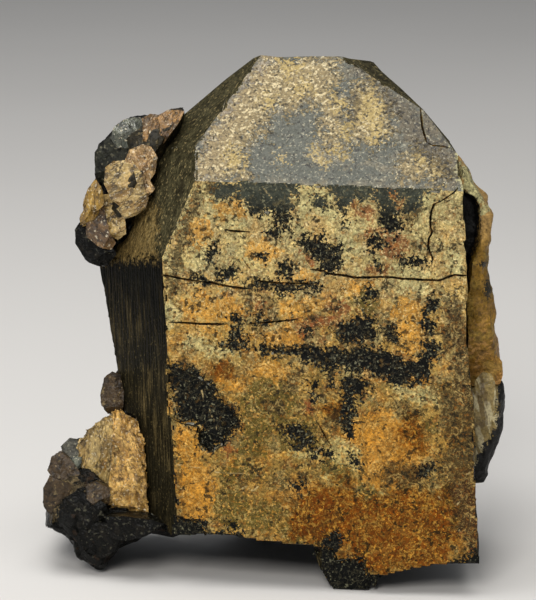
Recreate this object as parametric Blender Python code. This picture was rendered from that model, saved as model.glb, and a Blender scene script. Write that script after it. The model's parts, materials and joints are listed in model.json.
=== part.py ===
"""Gadolinite specimen: a stout, wedge-topped gadolinite crystal on its own broken base, with lumps of
feldspar, quartz and dark matrix grown on its left shoulder, left foot and right side.

Lengths are in millimetres and angles in degrees until a mesh is made; meshes are in metres, +Z up.
The big front face looks along -Y. A direction is a bearing round Z (0 is -Y, 90 is +X) and a lift
above the horizon. The origin is the bottom centre of the whole specimen's box.
"""

import math
import random

import bmesh
import bpy
from mathutils import Matrix, Vector, noise

MM = 0.001
GAP = 0.3  # left between two minerals that touch
LUMP_VOXEL = 0.6
LUMP_FACETS = 0.07  # share of the skin's triangles that a lump's facets keep
TOP = 79.5  # height of the crystal's ridge above the surface it stands on

# Each face of the crystal: bearing and lift of its normal, and one point that it passes through.
CRYSTAL_FACES = {
    "front": (-7, 3, (6.8, -17.0, 34.4)),
    "top_front": (-6, 45, (-12.4, -13.2, 62.6)),
    "left_prism": (-62, -1, (-17.0, -13.2, 50.9)),
    "left_shoulder": (-66, 21.5, (-13.7, -11.4, 60.4)),
    "left_top": (-71, 46.5, (-11.5, -8.0, 67.8)),
    "left_top_back": (-135, 42, (-11.6, 5.7, 72.0)),
    "top": (173, 76, (3.9, 2.1, TOP)),
    "top_back": (173, 44, (3.9, 8.0, 78.0)),
    "back": (173, -2, (0.0, 17.5, 40.0)),
    "back_left": (-125, -17.5, (-27.7, 7.0, 46.2)),
    "right_top": (72, 63.5, (10.0, 1.6, 79.6)),
    "right_top_back": (100, 40.5, (16.4, 4.5, 77.1)),
    "right_shoulder": (90, 39.5, (22.2, -6.7, 72.7)),
    "right_cap": (94, 3, (27.4, -14.1, 65.9)),
    "right_side": (97, 2, (30.1, -18.6, 58.4)),
    "underside": (0, -90, (0.0, 0.0, -5.0)),
}

# The front face's crust ends in steps at the bottom: x and z of each corner, left to right.
CRUST_EDGE = [
    (-26.0, 10.8), (-14.8, 10.8), (-12.9, 10.5), (-10.7, 10.3), (-10.5, 8.3), (-5.3, 8.0), (-2.3, 7.6),
    (3.8, 7.1), (8.8, 6.9), (9.0, 4.9), (13.2, 5.4), (13.8, 3.5), (14.4, 2.8), (16.7, 2.7), (19.0, 3.6),
    (22.0, 4.3), (25.0, 5.0), (29.5, 5.1), (36.0, 4.8),
]
CRUST_THICKNESS = 1.1

# Behind the crust the crystal is broken off, in a rough surface that dips to the feet it stands on.
BREAK_LEVEL = 9.6  # at the front; it falls towards the back
BREAK_FALL = 0.14
BREAK_ROUGHNESS = 1.5
BREAK_CELL = 2.0
FEET = [  # x, y, radius, level at the centre
    (11.8, -15.4, 6.8, -1.2),
    (17.5, 9.0, 13.0, -1.2),
    (-2.0, 11.0, 9.0, 1.0),
    (-13.0, -13.0, 5.0, 7.6),
    (-19.0, -10.5, 7.0, 7.6),
    (26.5, -14.0, 7.0, 5.8),
]

# A flake missing from the front face, low on its left: x and z round its rim, and how deep it is.
FLAKE_PIT = [
    (-16.1, 34.4), (-12.8, 33.5), (-10.4, 31.9), (-8.0, 30.1), (-6.5, 27.9), (-5.6, 26.0), (-7.4, 24.4),
    (-8.0, 22.2), (-9.9, 21.3), (-11.2, 22.7), (-11.5, 25.1), (-14.1, 25.5), (-16.2, 26.6),
]
FLAKE_DEPTH = 0.8

# The bite out of the front face's right-hand edge: x and z, top to bottom.
RIGHT_BITE = [
    (29.9, 58.6), (29.0, 56.0), (28.0, 54.2), (28.8, 51.5), (28.5, 40.6), (29.6, 30.9), (30.6, 23.4),
    (31.3, 18.9),
]
BITE_BACK = -12.5  # the bite runs from the front face back to this y

# Lumps: x and z round the outline, and the rings (y, share of the outline's size) that it is lofted through.
LOWER_MASS = dict(
    outline=[
        (-29.9, 18.4), (-33.4, 18.0), (-34.3, 16.2), (-35.4, 14.3), (-36.0, 11.3), (-36.7, 8.9),
        (-35.5, 6.7), (-33.3, 5.0), (-31.1, 2.3), (-29.2, 0.4), (-27.2, -1.0), (-25.7, -0.2), (-23.6, 2.8),
        (-19.7, 4.4), (-11.2, 5.8), (-10.6, 9.0), (-19.7, 9.5), (-24.4, 12.6),
    ],
    rings=[(-10.5, 0.45), (-8.5, 0.82), (-3.0, 1.0), (3.0, 1.0), (8.5, 0.88), (12.0, 0.5)],
    roughness=0.9, chips=9, chip_depth=1.3, seed=3,
)
LOWER_FELDSPAR = dict(
    outline=[
        (-22.6, 23.9), (-25.6, 22.8), (-27.8, 20.8), (-30.0, 19.0), (-29.9, 16.1), (-31.3, 14.2),
        (-29.3, 12.6), (-26.8, 11.0), (-26.3, 7.4), (-23.6, 6.3), (-17.0, 6.6), (-12.0, 9.6),
        (-12.0, 17.8), (-16.0, 23.9),
    ],
    rings=[(-7.5, 0.62), (-5.5, 0.93), (-1.0, 1.0), (5.0, 0.95), (9.0, 0.7)],
    roughness=0.5, chips=7, chip_depth=0.9, seed=12,
)
BROWN_KNOB = dict(
    outline=[
        (-24.0, 29.8), (-25.9, 28.6), (-27.0, 27.2), (-27.6, 25.5), (-27.4, 23.6), (-26.4, 22.5),
        (-23.0, 22.6), (-19.5, 23.2), (-19.0, 27.5), (-21.5, 30.0),
    ],
    rings=[(0.5, 0.55), (2.0, 0.92), (5.0, 1.0), (8.5, 0.6)],
    roughness=0.45, chips=4, chip_depth=0.6, seed=21,
)
UPPER_DARK = dict(
    outline=[
        (-17.9, 69.3), (-21.0, 69.5), (-23.2, 69.0), (-24.8, 68.0), (-25.8, 66.4), (-26.9, 65.8),
        (-27.9, 63.9), (-28.2, 61.0), (-27.9, 58.2), (-28.7, 56.5), (-29.6, 54.5), (-30.8, 52.6),
        (-31.2, 50.9), (-31.4, 49.4), (-30.2, 47.6), (-29.0, 45.9), (-27.4, 45.2), (-24.0, 45.0),
        (-18.0, 47.0), (-10.0, 57.5), (-8.0, 63.9), (-11.9, 68.0),
    ],
    rings=[(0.0, 0.6), (2.0, 0.94), (7.0, 1.0), (13.0, 0.95), (17.0, 0.6)],
    roughness=1.0, chips=10, chip_depth=1.3, seed=5,
)
UPPER_FELDSPAR = dict(
    outline=[
        (-12.6, 71.0), (-15.3, 71.3), (-17.6, 70.3), (-21.5, 69.6), (-23.3, 67.5), (-22.8, 65.5),
        (-25.2, 61.3), (-25.5, 58.2), (-26.4, 55.0), (-27.0, 52.6), (-25.8, 51.0), (-24.2, 51.4),
        (-21.0, 55.2), (-16.5, 58.2), (-13.4, 60.7), (-12.4, 65.8), (-10.6, 69.1),
    ],
    rings=[(-5.6, 0.55), (-3.6, 0.9), (0.0, 1.0), (4.5, 1.0), (7.0, 0.75)],
    roughness=0.6, chips=9, chip_depth=0.9, seed=8,
)
AMBER_GRAIN = dict(
    outline=[
        (-26.4, 59.6), (-27.8, 60.0), (-29.0, 58.2), (-29.8, 56.2), (-30.6, 54.2), (-30.0, 53.0),
        (-27.0, 52.6), (-25.6, 56.0),
    ],
    rings=[(-3.2, 0.5), (-2.0, 0.9), (1.5, 1.0), (3.5, 0.6)],
    roughness=0.3, chips=3, chip_depth=0.4, seed=33,
)
RIGHT_FELDSPAR = dict(
    outline=[
        (28.4, 64.6), (29.6, 63.1), (30.8, 60.3), (32.6, 58.8), (33.3, 57.4), (33.1, 54.9), (32.4, 52.6),
        (32.8, 49.2), (33.5, 43.3), (34.0, 38.6), (34.7, 34.2), (35.2, 31.4), (27.0, 31.2), (26.0, 37.0),
        (26.0, 49.5), (26.2, 60.0),
    ],
    rings=[(-11.5, 0.7), (-10.0, 0.97), (-5.0, 1.0), (4.0, 0.99), (10.0, 0.9), (13.5, 0.6)],
    roughness=0.5, chips=6, chip_depth=0.6, seed=14,
)
RIGHT_QUARTZ = dict(
    outline=[
        (27.0, 30.8), (35.0, 30.8), (35.8, 29.2), (35.3, 26.8), (35.5, 24.7), (34.9, 21.2), (33.2, 18.0),
        (32.2, 14.2), (28.0, 14.0), (26.5, 22.0),
    ],
    rings=[(-12.0, 0.6), (-10.0, 0.95), (-5.0, 1.0), (2.0, 0.95), (6.0, 0.6)],
    roughness=0.4, chips=6, chip_depth=0.6, seed=41,
)

MATERIALS = {  # colour, roughness
    "gadolinite": ((0.30, 0.19, 0.08), 0.5),
    "dark_matrix": ((0.03, 0.028, 0.025), 0.45),
    "feldspar": ((0.50, 0.36, 0.18), 0.5),
    "stained_feldspar": ((0.42, 0.24, 0.06), 0.55),
    "quartz": ((0.36, 0.32, 0.25), 0.3),
}


def direction(bearing, lift):
    bearing, lift = math.radians(bearing), math.radians(lift)
    return Vector((math.sin(bearing) * math.cos(lift), -math.cos(bearing) * math.cos(lift), math.sin(lift)))


def slice_off(bm, point, normal):
    """Cuts away what lies beyond the plane, and closes the cut."""
    geometry = bm.verts[:] + bm.edges[:] + bm.faces[:]
    cut = bmesh.ops.bisect_plane(
        bm, geom=geometry, dist=1e-5, plane_co=Vector(point), plane_no=normal, clear_outer=True
    )["geom_cut"]
    edges = [e for e in cut if isinstance(e, bmesh.types.BMEdge)]
    if edges:
        bmesh.ops.triangle_fill(bm, edges=edges, use_beauty=True, use_dissolve=False)


def loft(rings):
    """A closed shell through rings of points, with a face across each end."""
    bm = bmesh.new()
    loops = [[bm.verts.new(point) for point in ring] for ring in rings]
    for near, far in zip(loops, loops[1:]):
        for i in range(len(near)):
            j = (i + 1) % len(near)
            bm.faces.new((near[i], near[j], far[j], far[i]))
    bm.faces.new(loops[0])
    bm.faces.new(loops[-1])
    bmesh.ops.recalc_face_normals(bm, faces=bm.faces)
    return bm


def prism(outline, y_front, y_back):
    """A straight-sided solid with an outline in x and z."""
    return loft([[(x, y, z) for x, z in outline] for y in (y_front, y_back)])


def stir(bm, amount, scale, seed):
    """Moves every point by smooth noise."""
    for vert in bm.verts:
        place = vert.co / scale + Vector((7.3, 3.1, 5.7)) * seed
        for axis, offset in enumerate((0.0, 31.7, 67.1)):
            vert.co[axis] += amount * noise.noise(place + Vector((offset, offset, offset)))


def halfway(points, closed):
    """The same points with one more between each pair."""
    following = points[1:] + points[:1] if closed else points[1:]
    dense = []
    for here, there in zip(points, following):
        dense += [here, tuple((a + b) / 2 for a, b in zip(here, there))]
    return dense if closed else dense + [points[-1]]


def lump(outline, rings, roughness, chips, chip_depth, seed):
    """A broken lump of rock: a lofted outline, roughened, with flat chips struck off it."""
    centre_x = sum(x for x, z in outline) / len(outline)
    centre_z = sum(z for x, z in outline) / len(outline)
    ends = [(rings[0][0] - 0.4, 0.5 * rings[0][1]), (rings[-1][0] + 0.4, 0.5 * rings[-1][1])]
    offsets = [(x - centre_x, z - centre_z) for x, z in halfway(outline, closed=True)]
    dense_rings = halfway([ends[0], *rings, ends[1]], closed=False)
    bm = loft([[(centre_x + x * share, y, centre_z + z * share) for x, z in offsets] for y, share in dense_rings])
    stir(bm, 2.0 * roughness, 4.5, seed)
    stir(bm, 0.8, 1.9, seed)
    chance = random.Random(seed)
    for _ in range(chips):
        normal = direction(chance.uniform(-110, 110), chance.uniform(-60, 60))
        reach = max(v.co.dot(normal) for v in bm.verts) - chip_depth * chance.uniform(0.4, 1.0)
        for vert in bm.verts:
            vert.co -= normal * max(0.0, vert.co.dot(normal) - reach)
    return bm


def crystal_block(grow=0.0):
    """The crystal as a block cut by its face planes, each moved outwards by grow."""
    bm = bmesh.new()
    bmesh.ops.create_cube(bm, size=2.5 * TOP)
    for bearing, lift, point in CRYSTAL_FACES.values():
        normal = direction(bearing, lift)
        slice_off(bm, Vector(point) + normal * grow, normal)
    bmesh.ops.recalc_face_normals(bm, faces=bm.faces)
    return bm


def front_y(x, z, depth=0.0):
    """The y of the front face at a given x and z, or of a plane that far behind it."""
    bearing, lift, point = CRYSTAL_FACES["front"]
    normal = direction(bearing, lift)
    point = Vector(point) - normal * depth
    return point.y - ((x - point.x) * normal.x + (z - point.z) * normal.z) / normal.y


def crust_height(x):
    for (x0, z0), (x1, z1) in zip(CRUST_EDGE, CRUST_EDGE[1:]):
        if x0 <= x <= x1:
            return z0 + (z1 - z0) * (x - x0) / (x1 - x0)
    return CRUST_EDGE[-1][1]


def break_height(x, y):
    """Height of the broken underside, down to the level that the specimen stands on."""
    grain = noise.fractal(Vector((x, y, 0.0)) / 5.0, 0.8, 2.0, 3)
    level = BREAK_LEVEL - BREAK_FALL * (y + 17.0) + BREAK_ROUGHNESS * grain
    for foot_x, foot_y, radius, depth in FEET:
        nearness = 1.0 - math.hypot(x - foot_x, y - foot_y) / radius
        if nearness > 0:
            level += (depth - level) * min(1.0, 2.0 * nearness) ** 0.8
    return max(0.0, level)


def underside():
    """What lies below the crystal: a rough surface, with the crust's stepped edge along its front."""
    corners = {x for x, z in CRUST_EDGE}
    between = {-25.0 + BREAK_CELL * i for i in range(30)}
    xs = sorted(corners | {x for x in between if min(abs(x - corner) for corner in corners) > 0.6})
    depths = [-15.0, -5.0, CRUST_THICKNESS, CRUST_THICKNESS + 0.5]
    depths += [CRUST_THICKNESS + BREAK_CELL * i for i in range(1, 24)]
    rings = []
    for row, depth in enumerate(depths):
        ring = []
        for x in xs:
            y = front_y(x, 5.0, depth)
            if row in (0, len(depths) - 1):
                height = BREAK_LEVEL
            else:
                height = crust_height(x) if row < 3 else break_height(x, y)
            stray = 0.8 * noise.noise(Vector((x, y, 0.0)) / 1.7) if row > 3 else 0.0
            ring.append((x + stray, y, height))
        ring += [(x, front_y(x, 5.0, depth), -20.0) for x in reversed(xs)]
        rings.append(ring)
    return loft(rings)


def new_material(name):
    colour, roughness = MATERIALS[name]
    material = bpy.data.materials.new(name)
    material.use_nodes = True
    shader = material.node_tree.nodes["Principled BSDF"]
    shader.inputs["Base Color"].default_value = (*colour, 1)
    shader.inputs["Roughness"].default_value = roughness
    shader.inputs["Metallic"].default_value = 0.0
    return material


def new_object(name, bm, parent, material=None):
    """A mesh object in metres from a mesh in millimetres. With no material it is a cutter."""
    mesh = bpy.data.meshes.new(name)
    bm.to_mesh(mesh)
    bm.free()
    mesh.transform(Matrix.Scale(MM, 4))
    obj = bpy.data.objects.new(name, mesh)
    bpy.context.scene.collection.objects.link(obj)
    obj.parent = parent
    if material:
        mesh.materials.append(material)
    else:
        obj.hide_render = True
        obj.display_type = "WIRE"
    return obj


def new_lump(name, sizes, parent, material=None, grow=0.0):
    """A lump with broken facets. A cutter for its socket is the same lump grown by the gap."""
    obj = new_object(name, lump(**sizes), parent, material)
    voxels = obj.modifiers.new("clean skin", "REMESH")
    voxels.mode = "VOXEL"
    voxels.voxel_size = LUMP_VOXEL * MM
    facets = obj.modifiers.new("broken facets", "DECIMATE")
    facets.ratio = LUMP_FACETS
    if grow:
        growth = obj.modifiers.new("gap", "DISPLACE")
        growth.strength = grow * MM
        growth.mid_level = 0.0
    return obj


def combine(obj, operation, other):
    modifier = obj.modifiers.new(f"{operation.lower()} {other.name}", "BOOLEAN")
    modifier.operation = operation
    modifier.object = other
    modifier.solver = "EXACT"


def build_crystal(parent, material):
    """The crystal, broken off below, and the black mass at its left foot, in one solid."""
    crystal = new_object("gadolinite_crystal", crystal_block(), parent, material)
    combine(crystal, "DIFFERENCE", new_object("cut_underside", underside(), parent))
    bite = [*RIGHT_BITE, (40.0, 18.0), (40.0, 59.0)]
    combine(crystal, "DIFFERENCE", new_object("cut_right_bite", prism(bite, -40, BITE_BACK), parent))
    pit = loft([[(x, y or front_y(x, z, FLAKE_DEPTH), z) for x, z in FLAKE_PIT] for y in (-30.0, None)])
    combine(crystal, "DIFFERENCE", new_object("cut_flake_pit", pit, parent))
    lower_mass = new_lump("join_lower_mass", LOWER_MASS, parent)
    combine(lower_mass, "DIFFERENCE", new_lump("cut_feldspar_seat", LOWER_FELDSPAR, parent, grow=GAP))
    combine(crystal, "UNION", lower_mass)
    below = prism([(-60, 0), (60, 0), (60, -30), (-60, -30)], -50, 50)
    combine(crystal, "DIFFERENCE", new_object("cut_standing_level", below, parent))
    return crystal


def centre_on_base(parent):
    """Moves the specimen so that its box's bottom centre is the origin."""
    bpy.context.view_layer.update()
    graph = bpy.context.evaluated_depsgraph_get()
    corners = []
    for obj in bpy.data.objects:
        if obj.type == "MESH" and not obj.hide_render:
            mesh = obj.evaluated_get(graph).data
            corners += [obj.matrix_world @ v.co for v in mesh.vertices]
    low = [min(c[i] for c in corners) for i in range(3)]
    high = [max(c[i] for c in corners) for i in range(3)]
    parent.location = (-(low[0] + high[0]) / 2, -(low[1] + high[1]) / 2, -low[2])


def main():
    for obj in list(bpy.data.objects):
        bpy.data.objects.remove(obj, do_unlink=True)
    specimen = bpy.data.objects.new("specimen", None)
    bpy.context.scene.collection.objects.link(specimen)
    materials = {name: new_material(name) for name in MATERIALS}
    build_crystal(specimen, materials["gadolinite"])
    clearance = new_object("cut_crystal_clearance", crystal_block(GAP), specimen)
    for name, sizes, material, sockets in (
        ("brown_knob", BROWN_KNOB, "feldspar", ()),
        ("lower_feldspar", LOWER_FELDSPAR, "feldspar", (BROWN_KNOB,)),
        ("upper_feldspar", UPPER_FELDSPAR, "feldspar", ()),
        ("amber_grain", AMBER_GRAIN, "stained_feldspar", (UPPER_FELDSPAR,)),
        ("upper_dark_matrix", UPPER_DARK, "dark_matrix", (UPPER_FELDSPAR, AMBER_GRAIN)),
        ("right_feldspar", RIGHT_FELDSPAR, "stained_feldspar", ()),
        ("right_quartz", RIGHT_QUARTZ, "quartz", (RIGHT_FELDSPAR,)),
    ):
        piece = new_lump(name, sizes, specimen, materials[material])
        combine(piece, "DIFFERENCE", clearance)
        for index, neighbour in enumerate(sockets, 1):
            cutter = new_lump(f"cut_{name}_socket_{index}", neighbour, specimen, grow=GAP)
            combine(piece, "DIFFERENCE", cutter)
    centre_on_base(specimen)


main()
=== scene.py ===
import math

import bpy
import numpy as np
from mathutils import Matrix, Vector, noise
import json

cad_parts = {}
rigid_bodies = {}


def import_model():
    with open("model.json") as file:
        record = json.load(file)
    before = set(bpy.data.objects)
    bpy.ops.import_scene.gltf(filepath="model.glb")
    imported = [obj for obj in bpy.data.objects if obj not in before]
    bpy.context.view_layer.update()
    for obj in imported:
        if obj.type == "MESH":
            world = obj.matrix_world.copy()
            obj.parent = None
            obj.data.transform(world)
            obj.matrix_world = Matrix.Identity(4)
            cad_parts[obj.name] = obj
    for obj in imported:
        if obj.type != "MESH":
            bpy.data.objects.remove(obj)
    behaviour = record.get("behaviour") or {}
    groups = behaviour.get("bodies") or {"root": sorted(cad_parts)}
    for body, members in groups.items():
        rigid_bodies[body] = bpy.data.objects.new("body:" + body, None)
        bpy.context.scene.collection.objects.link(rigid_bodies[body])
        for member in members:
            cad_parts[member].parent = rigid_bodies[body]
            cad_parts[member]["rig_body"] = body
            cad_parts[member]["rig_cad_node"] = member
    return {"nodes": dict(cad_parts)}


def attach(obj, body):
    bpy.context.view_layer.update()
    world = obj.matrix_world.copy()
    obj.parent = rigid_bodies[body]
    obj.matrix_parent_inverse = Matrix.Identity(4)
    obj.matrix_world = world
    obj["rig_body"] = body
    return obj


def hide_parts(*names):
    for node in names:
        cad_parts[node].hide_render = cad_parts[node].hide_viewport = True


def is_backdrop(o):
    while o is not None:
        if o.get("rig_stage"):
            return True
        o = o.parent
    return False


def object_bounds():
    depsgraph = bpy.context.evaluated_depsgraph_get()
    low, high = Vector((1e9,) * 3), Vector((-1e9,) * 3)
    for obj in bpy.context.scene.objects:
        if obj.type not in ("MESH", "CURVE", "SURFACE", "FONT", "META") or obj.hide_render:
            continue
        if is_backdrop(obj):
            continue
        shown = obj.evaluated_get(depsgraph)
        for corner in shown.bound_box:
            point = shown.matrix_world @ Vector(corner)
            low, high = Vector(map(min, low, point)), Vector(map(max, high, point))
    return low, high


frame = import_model()
cad_low, cad_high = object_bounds()
MM = 0.001


# The view: a long lens at table-top distance, a little above the specimen, square on to
# the big front face of the crystal. It is set from the size of the solid part.
middle = (cad_low + cad_high) / 2
aim = Vector((middle.x - 0.61 * MM, cad_low.y + 5.54 * MM, 45 * MM))
rise = math.radians(12)
REACH = 450  # from the camera to what it is aimed at, in millimetres
bpy.ops.object.camera_add(
    location=aim + Vector((0, -math.cos(rise), math.sin(rise))) * (REACH * MM),
    rotation=(math.radians(90) - rise, 0, 0),
)
camera = bpy.context.object
camera.data.lens = 180
camera.data.sensor_width = 36
camera.data.clip_start = 0.01
bpy.context.scene.camera = camera


# The table: a plain pale board under soft studio light. A wide lamp overhead gives the
# grey sheen on the sloping top face, and a softer one in front lights the crust.
def srgb(red, green, blue):
    """A colour said as 0-255 screen values, as the shader's linear light."""
    return tuple(
        c / 255 / 12.92 if c < 10.3 else ((c / 255 + 0.055) / 1.055) ** 2.4
        for c in (red, green, blue)
    ) + (1,)


def add(tree, kind, feeds=(), **settings):
    """Puts one shader node in a tree. Feeds are (input, value or another node's output)."""
    made = tree.nodes.new("ShaderNode" + kind)
    for name, value in settings.items():
        setattr(made, name, value)
    for place, value in feeds:
        if isinstance(value, bpy.types.NodeSocket):
            tree.links.new(value, made.inputs[place])
        else:
            made.inputs[place].default_value = value
    return made


def new_finish(name, **plain):
    """A material with its tree, its shader and its object coordinates in millimetres."""
    finish = bpy.data.materials.new(name)
    finish.use_nodes = True
    tree = finish.node_tree
    shader = tree.nodes["Principled BSDF"]
    for socket, value in plain.items():
        shader.inputs[socket.replace("_", " ")].default_value = value
    where = add(tree, "TexCoord").outputs["Object"]
    place = add(
        tree, "Mapping", [("Vector", where), ("Scale", (1000, 1000, 1000))]
    ).outputs[0]
    return finish, tree, shader, place


board_finish, tree, shader, place = new_finish("pale_board", Roughness=0.7)
wander = add(tree, "TexNoise", [("Vector", place), ("Scale", 0.004), ("Detail", 3)])
shade = add(tree, "ValToRGB", [(0, wander.outputs["Fac"])])
shade.color_ramp.elements[0].color = srgb(214, 212, 209)
shade.color_ramp.elements[1].color = srgb(224, 222, 219)
tree.links.new(shade.outputs[0], shader.inputs["Base Color"])
bpy.ops.object.select_all(action="DESELECT")
bpy.ops.mesh.primitive_plane_add(size=6, location=(0, 1.5, 0))
board = bpy.context.object
board.name = "table_board"
board.data.materials.append(board_finish)
board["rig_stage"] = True

sky = bpy.data.worlds.new("soft_room")
sky.use_nodes = True
sky.node_tree.nodes["Background"].inputs[0].default_value = srgb(205, 208, 212)
sky.node_tree.nodes["Background"].inputs[1].default_value = 0.26
bpy.context.scene.world = sky
bpy.context.scene.view_settings.view_transform = "Standard"


def soft_lamp(name, stand, width, power, warmth):
    """A square soft lamp that faces the crystal."""
    bpy.ops.object.light_add(type="AREA", location=stand)
    lamp = bpy.context.object
    lamp.name = name
    lamp.data.size = width
    lamp.data.energy = power
    lamp.data.color = warmth
    lamp.rotation_euler = (Vector(stand) - aim).to_track_quat("Z", "Y").to_euler()


soft_lamp("overhead_lamp", (-0.05, -0.12, 0.75), 0.55, 4.6, (1, 0.985, 0.96))
soft_lamp("front_lamp", (-0.18, -0.85, 0.62), 0.35, 5.6, (1, 0.97, 0.93))
soft_lamp("left_lamp", (-0.8, -0.25, 0.45), 0.35, 1.2, (0.97, 0.98, 1))


# The crystal: one stout prism of black gadolinite, grown with flat faces and snapped off
# below. A thin ochre crust of alteration covers the front, worn through to the black in
# ragged patches, and the matrix rock it grew on is still joined to its lower left.
def alone(piece):
    """Only this piece is selected, and operators act on it."""
    bpy.ops.object.select_all(action="DESELECT")
    piece.hide_viewport = False
    piece.select_set(True)
    bpy.context.view_layer.objects.active = piece
    return piece


def copy_of(node, name):
    """A separate copy of a solid, with its loose triangles joined at their corners."""
    alone(frame["nodes"][node])
    bpy.ops.object.duplicate()
    piece = bpy.context.object
    piece.name = name
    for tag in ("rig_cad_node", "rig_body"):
        del piece[tag]
    bpy.ops.object.parent_clear(type="CLEAR_KEEP_TRANSFORM")
    bpy.ops.object.mode_set(mode="EDIT")
    bpy.ops.mesh.select_all(action="SELECT")
    bpy.ops.mesh.remove_doubles(threshold=0.01 * MM)
    bpy.ops.object.mode_set(mode="OBJECT")
    piece.data.materials.clear()
    return piece


def work(piece, kind, **settings):
    """Adds one modifier, sets it and applies it."""
    alone(piece)
    modifier = piece.modifiers.new("work", kind)
    for name, value in settings.items():
        setattr(modifier, name, value)
    bpy.ops.object.modifier_apply(modifier="work")


def points_of(piece):
    """The corners and their normals: millimetres, one row each."""
    count = len(piece.data.vertices)
    corners = np.empty(count * 3, np.float32)
    piece.data.vertices.foreach_get("co", corners)
    facing = np.empty(count * 3, np.float32)
    piece.data.vertices.foreach_get("normal", facing)
    return corners.reshape(-1, 3) / MM, facing.reshape(-1, 3)


def note(piece, name, amounts):
    """Keeps one number for each corner of the mesh, for the material to read."""
    layer = piece.data.attributes.new(name, "FLOAT", "POINT")
    layer.data.foreach_set("value", np.asarray(amounts, np.float32))


def weigh(piece, name, amounts):
    """A vertex group, which tells a modifier how much to move each corner."""
    group = piece.vertex_groups.new(name=name)
    for index in np.flatnonzero(amounts > 0.01):
        group.add([int(index)], float(min(amounts[index], 1)), "REPLACE")


def inside(spots, outlines, reach=3.0):
    """How far each spot is inside the nearest outline, in millimetres: minus outside."""
    depth = np.full(len(spots), -reach)
    for outline in outlines:
        start = np.array(outline, float)
        run = np.roll(start, -1, 0) - start
        close = (spots > start.min(0) - reach) & (spots < start.max(0) + reach)
        near = np.flatnonzero(close.all(1))
        offset = spots[near][:, None] - start
        share = (offset * run).sum(2) / np.maximum((run**2).sum(1), 1e-9)
        gap = offset - np.clip(share, 0, 1)[..., None] * run
        gap = np.sqrt((gap**2).sum(2)).min(1)
        below, above = offset[..., 1] < 0, offset[..., 1] < run[:, 1]
        slope = run[:, 0] / np.where(run[:, 1] == 0, 1e-9, run[:, 1])
        passed = (below != above) & (offset[..., 0] < slope * offset[..., 1])
        within = passed.sum(1) % 2 == 1
        depth[near] = np.maximum(depth[near], np.where(within, gap, -gap))
    return depth


def beside(spots, lines, reach=1.5):
    """How far each spot is from the nearest drawn line, in millimetres."""
    gap = np.full(len(spots), reach)
    for line in lines:
        for start, end in zip(np.array(line, float), np.array(line[1:], float)):
            run, offset = end - start, spots - start
            share = np.clip(offset @ run / (run @ run), 0, 1)
            apart = offset - share[:, None] * run
            gap = np.minimum(gap, np.sqrt((apart**2).sum(1)))
    return gap


def roll(spots, size, seed, octaves=4):
    """Rolling noise of about -1 to 1, its humps about that many millimetres across."""
    shift = Vector((seed * 7.3, seed * 3.1, seed * 5.7))
    return np.array(
        [noise.fractal(Vector(s) / size + shift, 0.7, 2.0, octaves) for s in spots]
    )


def facing_way(bearing, lift):
    """The outward direction of a crystal face, from its compass bearing and its lift."""
    bearing, lift = math.radians(bearing), math.radians(lift)
    level = math.cos(lift)
    return np.array([math.sin(bearing) * level, -math.cos(bearing) * level, math.sin(lift)])


def carried(outlines, spot, way):
    """Outlines placed in the camera's frame, laid on a flat face as (x, z), to 0.1 mm."""
    laid = []
    for outline in outlines:
        corners = []
        for column, row in outline:
            right = ACROSS * (column - FRAME_WIDTH / 2) / ZOOM
            line = AHEAD + right + UPWARD * (FRAME_HEIGHT / 2 - row) / ZOOM
            x, _, z = EYE + line * (np.dot(spot - EYE, way) / np.dot(line, way))
            corners.append((round(float(x), 1), round(float(z), 1)))
        laid.append(corners)
    return laid


def upright(outlines, depth):
    """Outlines placed in the camera's frame, laid on the upright plane at that y."""
    return carried(outlines, np.array([0, depth, 0]), np.array([0, -1, 0]))


# The camera in millimetres. Outlines are places in its frame, given as column and row.
FRAME_WIDTH, FRAME_HEIGHT = 536, 600
ZOOM = camera.data.lens / camera.data.sensor_width * FRAME_HEIGHT
AHEAD = np.array([0, math.cos(rise), -math.sin(rise)])
UPWARD = np.array([0, math.sin(rise), math.cos(rise)])
ACROSS = np.array([1, 0, 0])
EYE = np.round(np.array(aim) / MM, 2) - AHEAD * REACH

# The three faces that outlines are laid on: which way each looks, and a point on it.
FRONT_WAY, FRONT_SPOT = facing_way(-7, 3), np.array([7.24, -16.49, 34.4])
TOP_WAY, TOP_SPOT = facing_way(-6, 45), np.array([-11.96, -12.69, 62.6])
SIDE_WAY, SIDE_SPOT = facing_way(-66, 21.5), np.array([-13.26, -10.89, 60.4])

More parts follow.
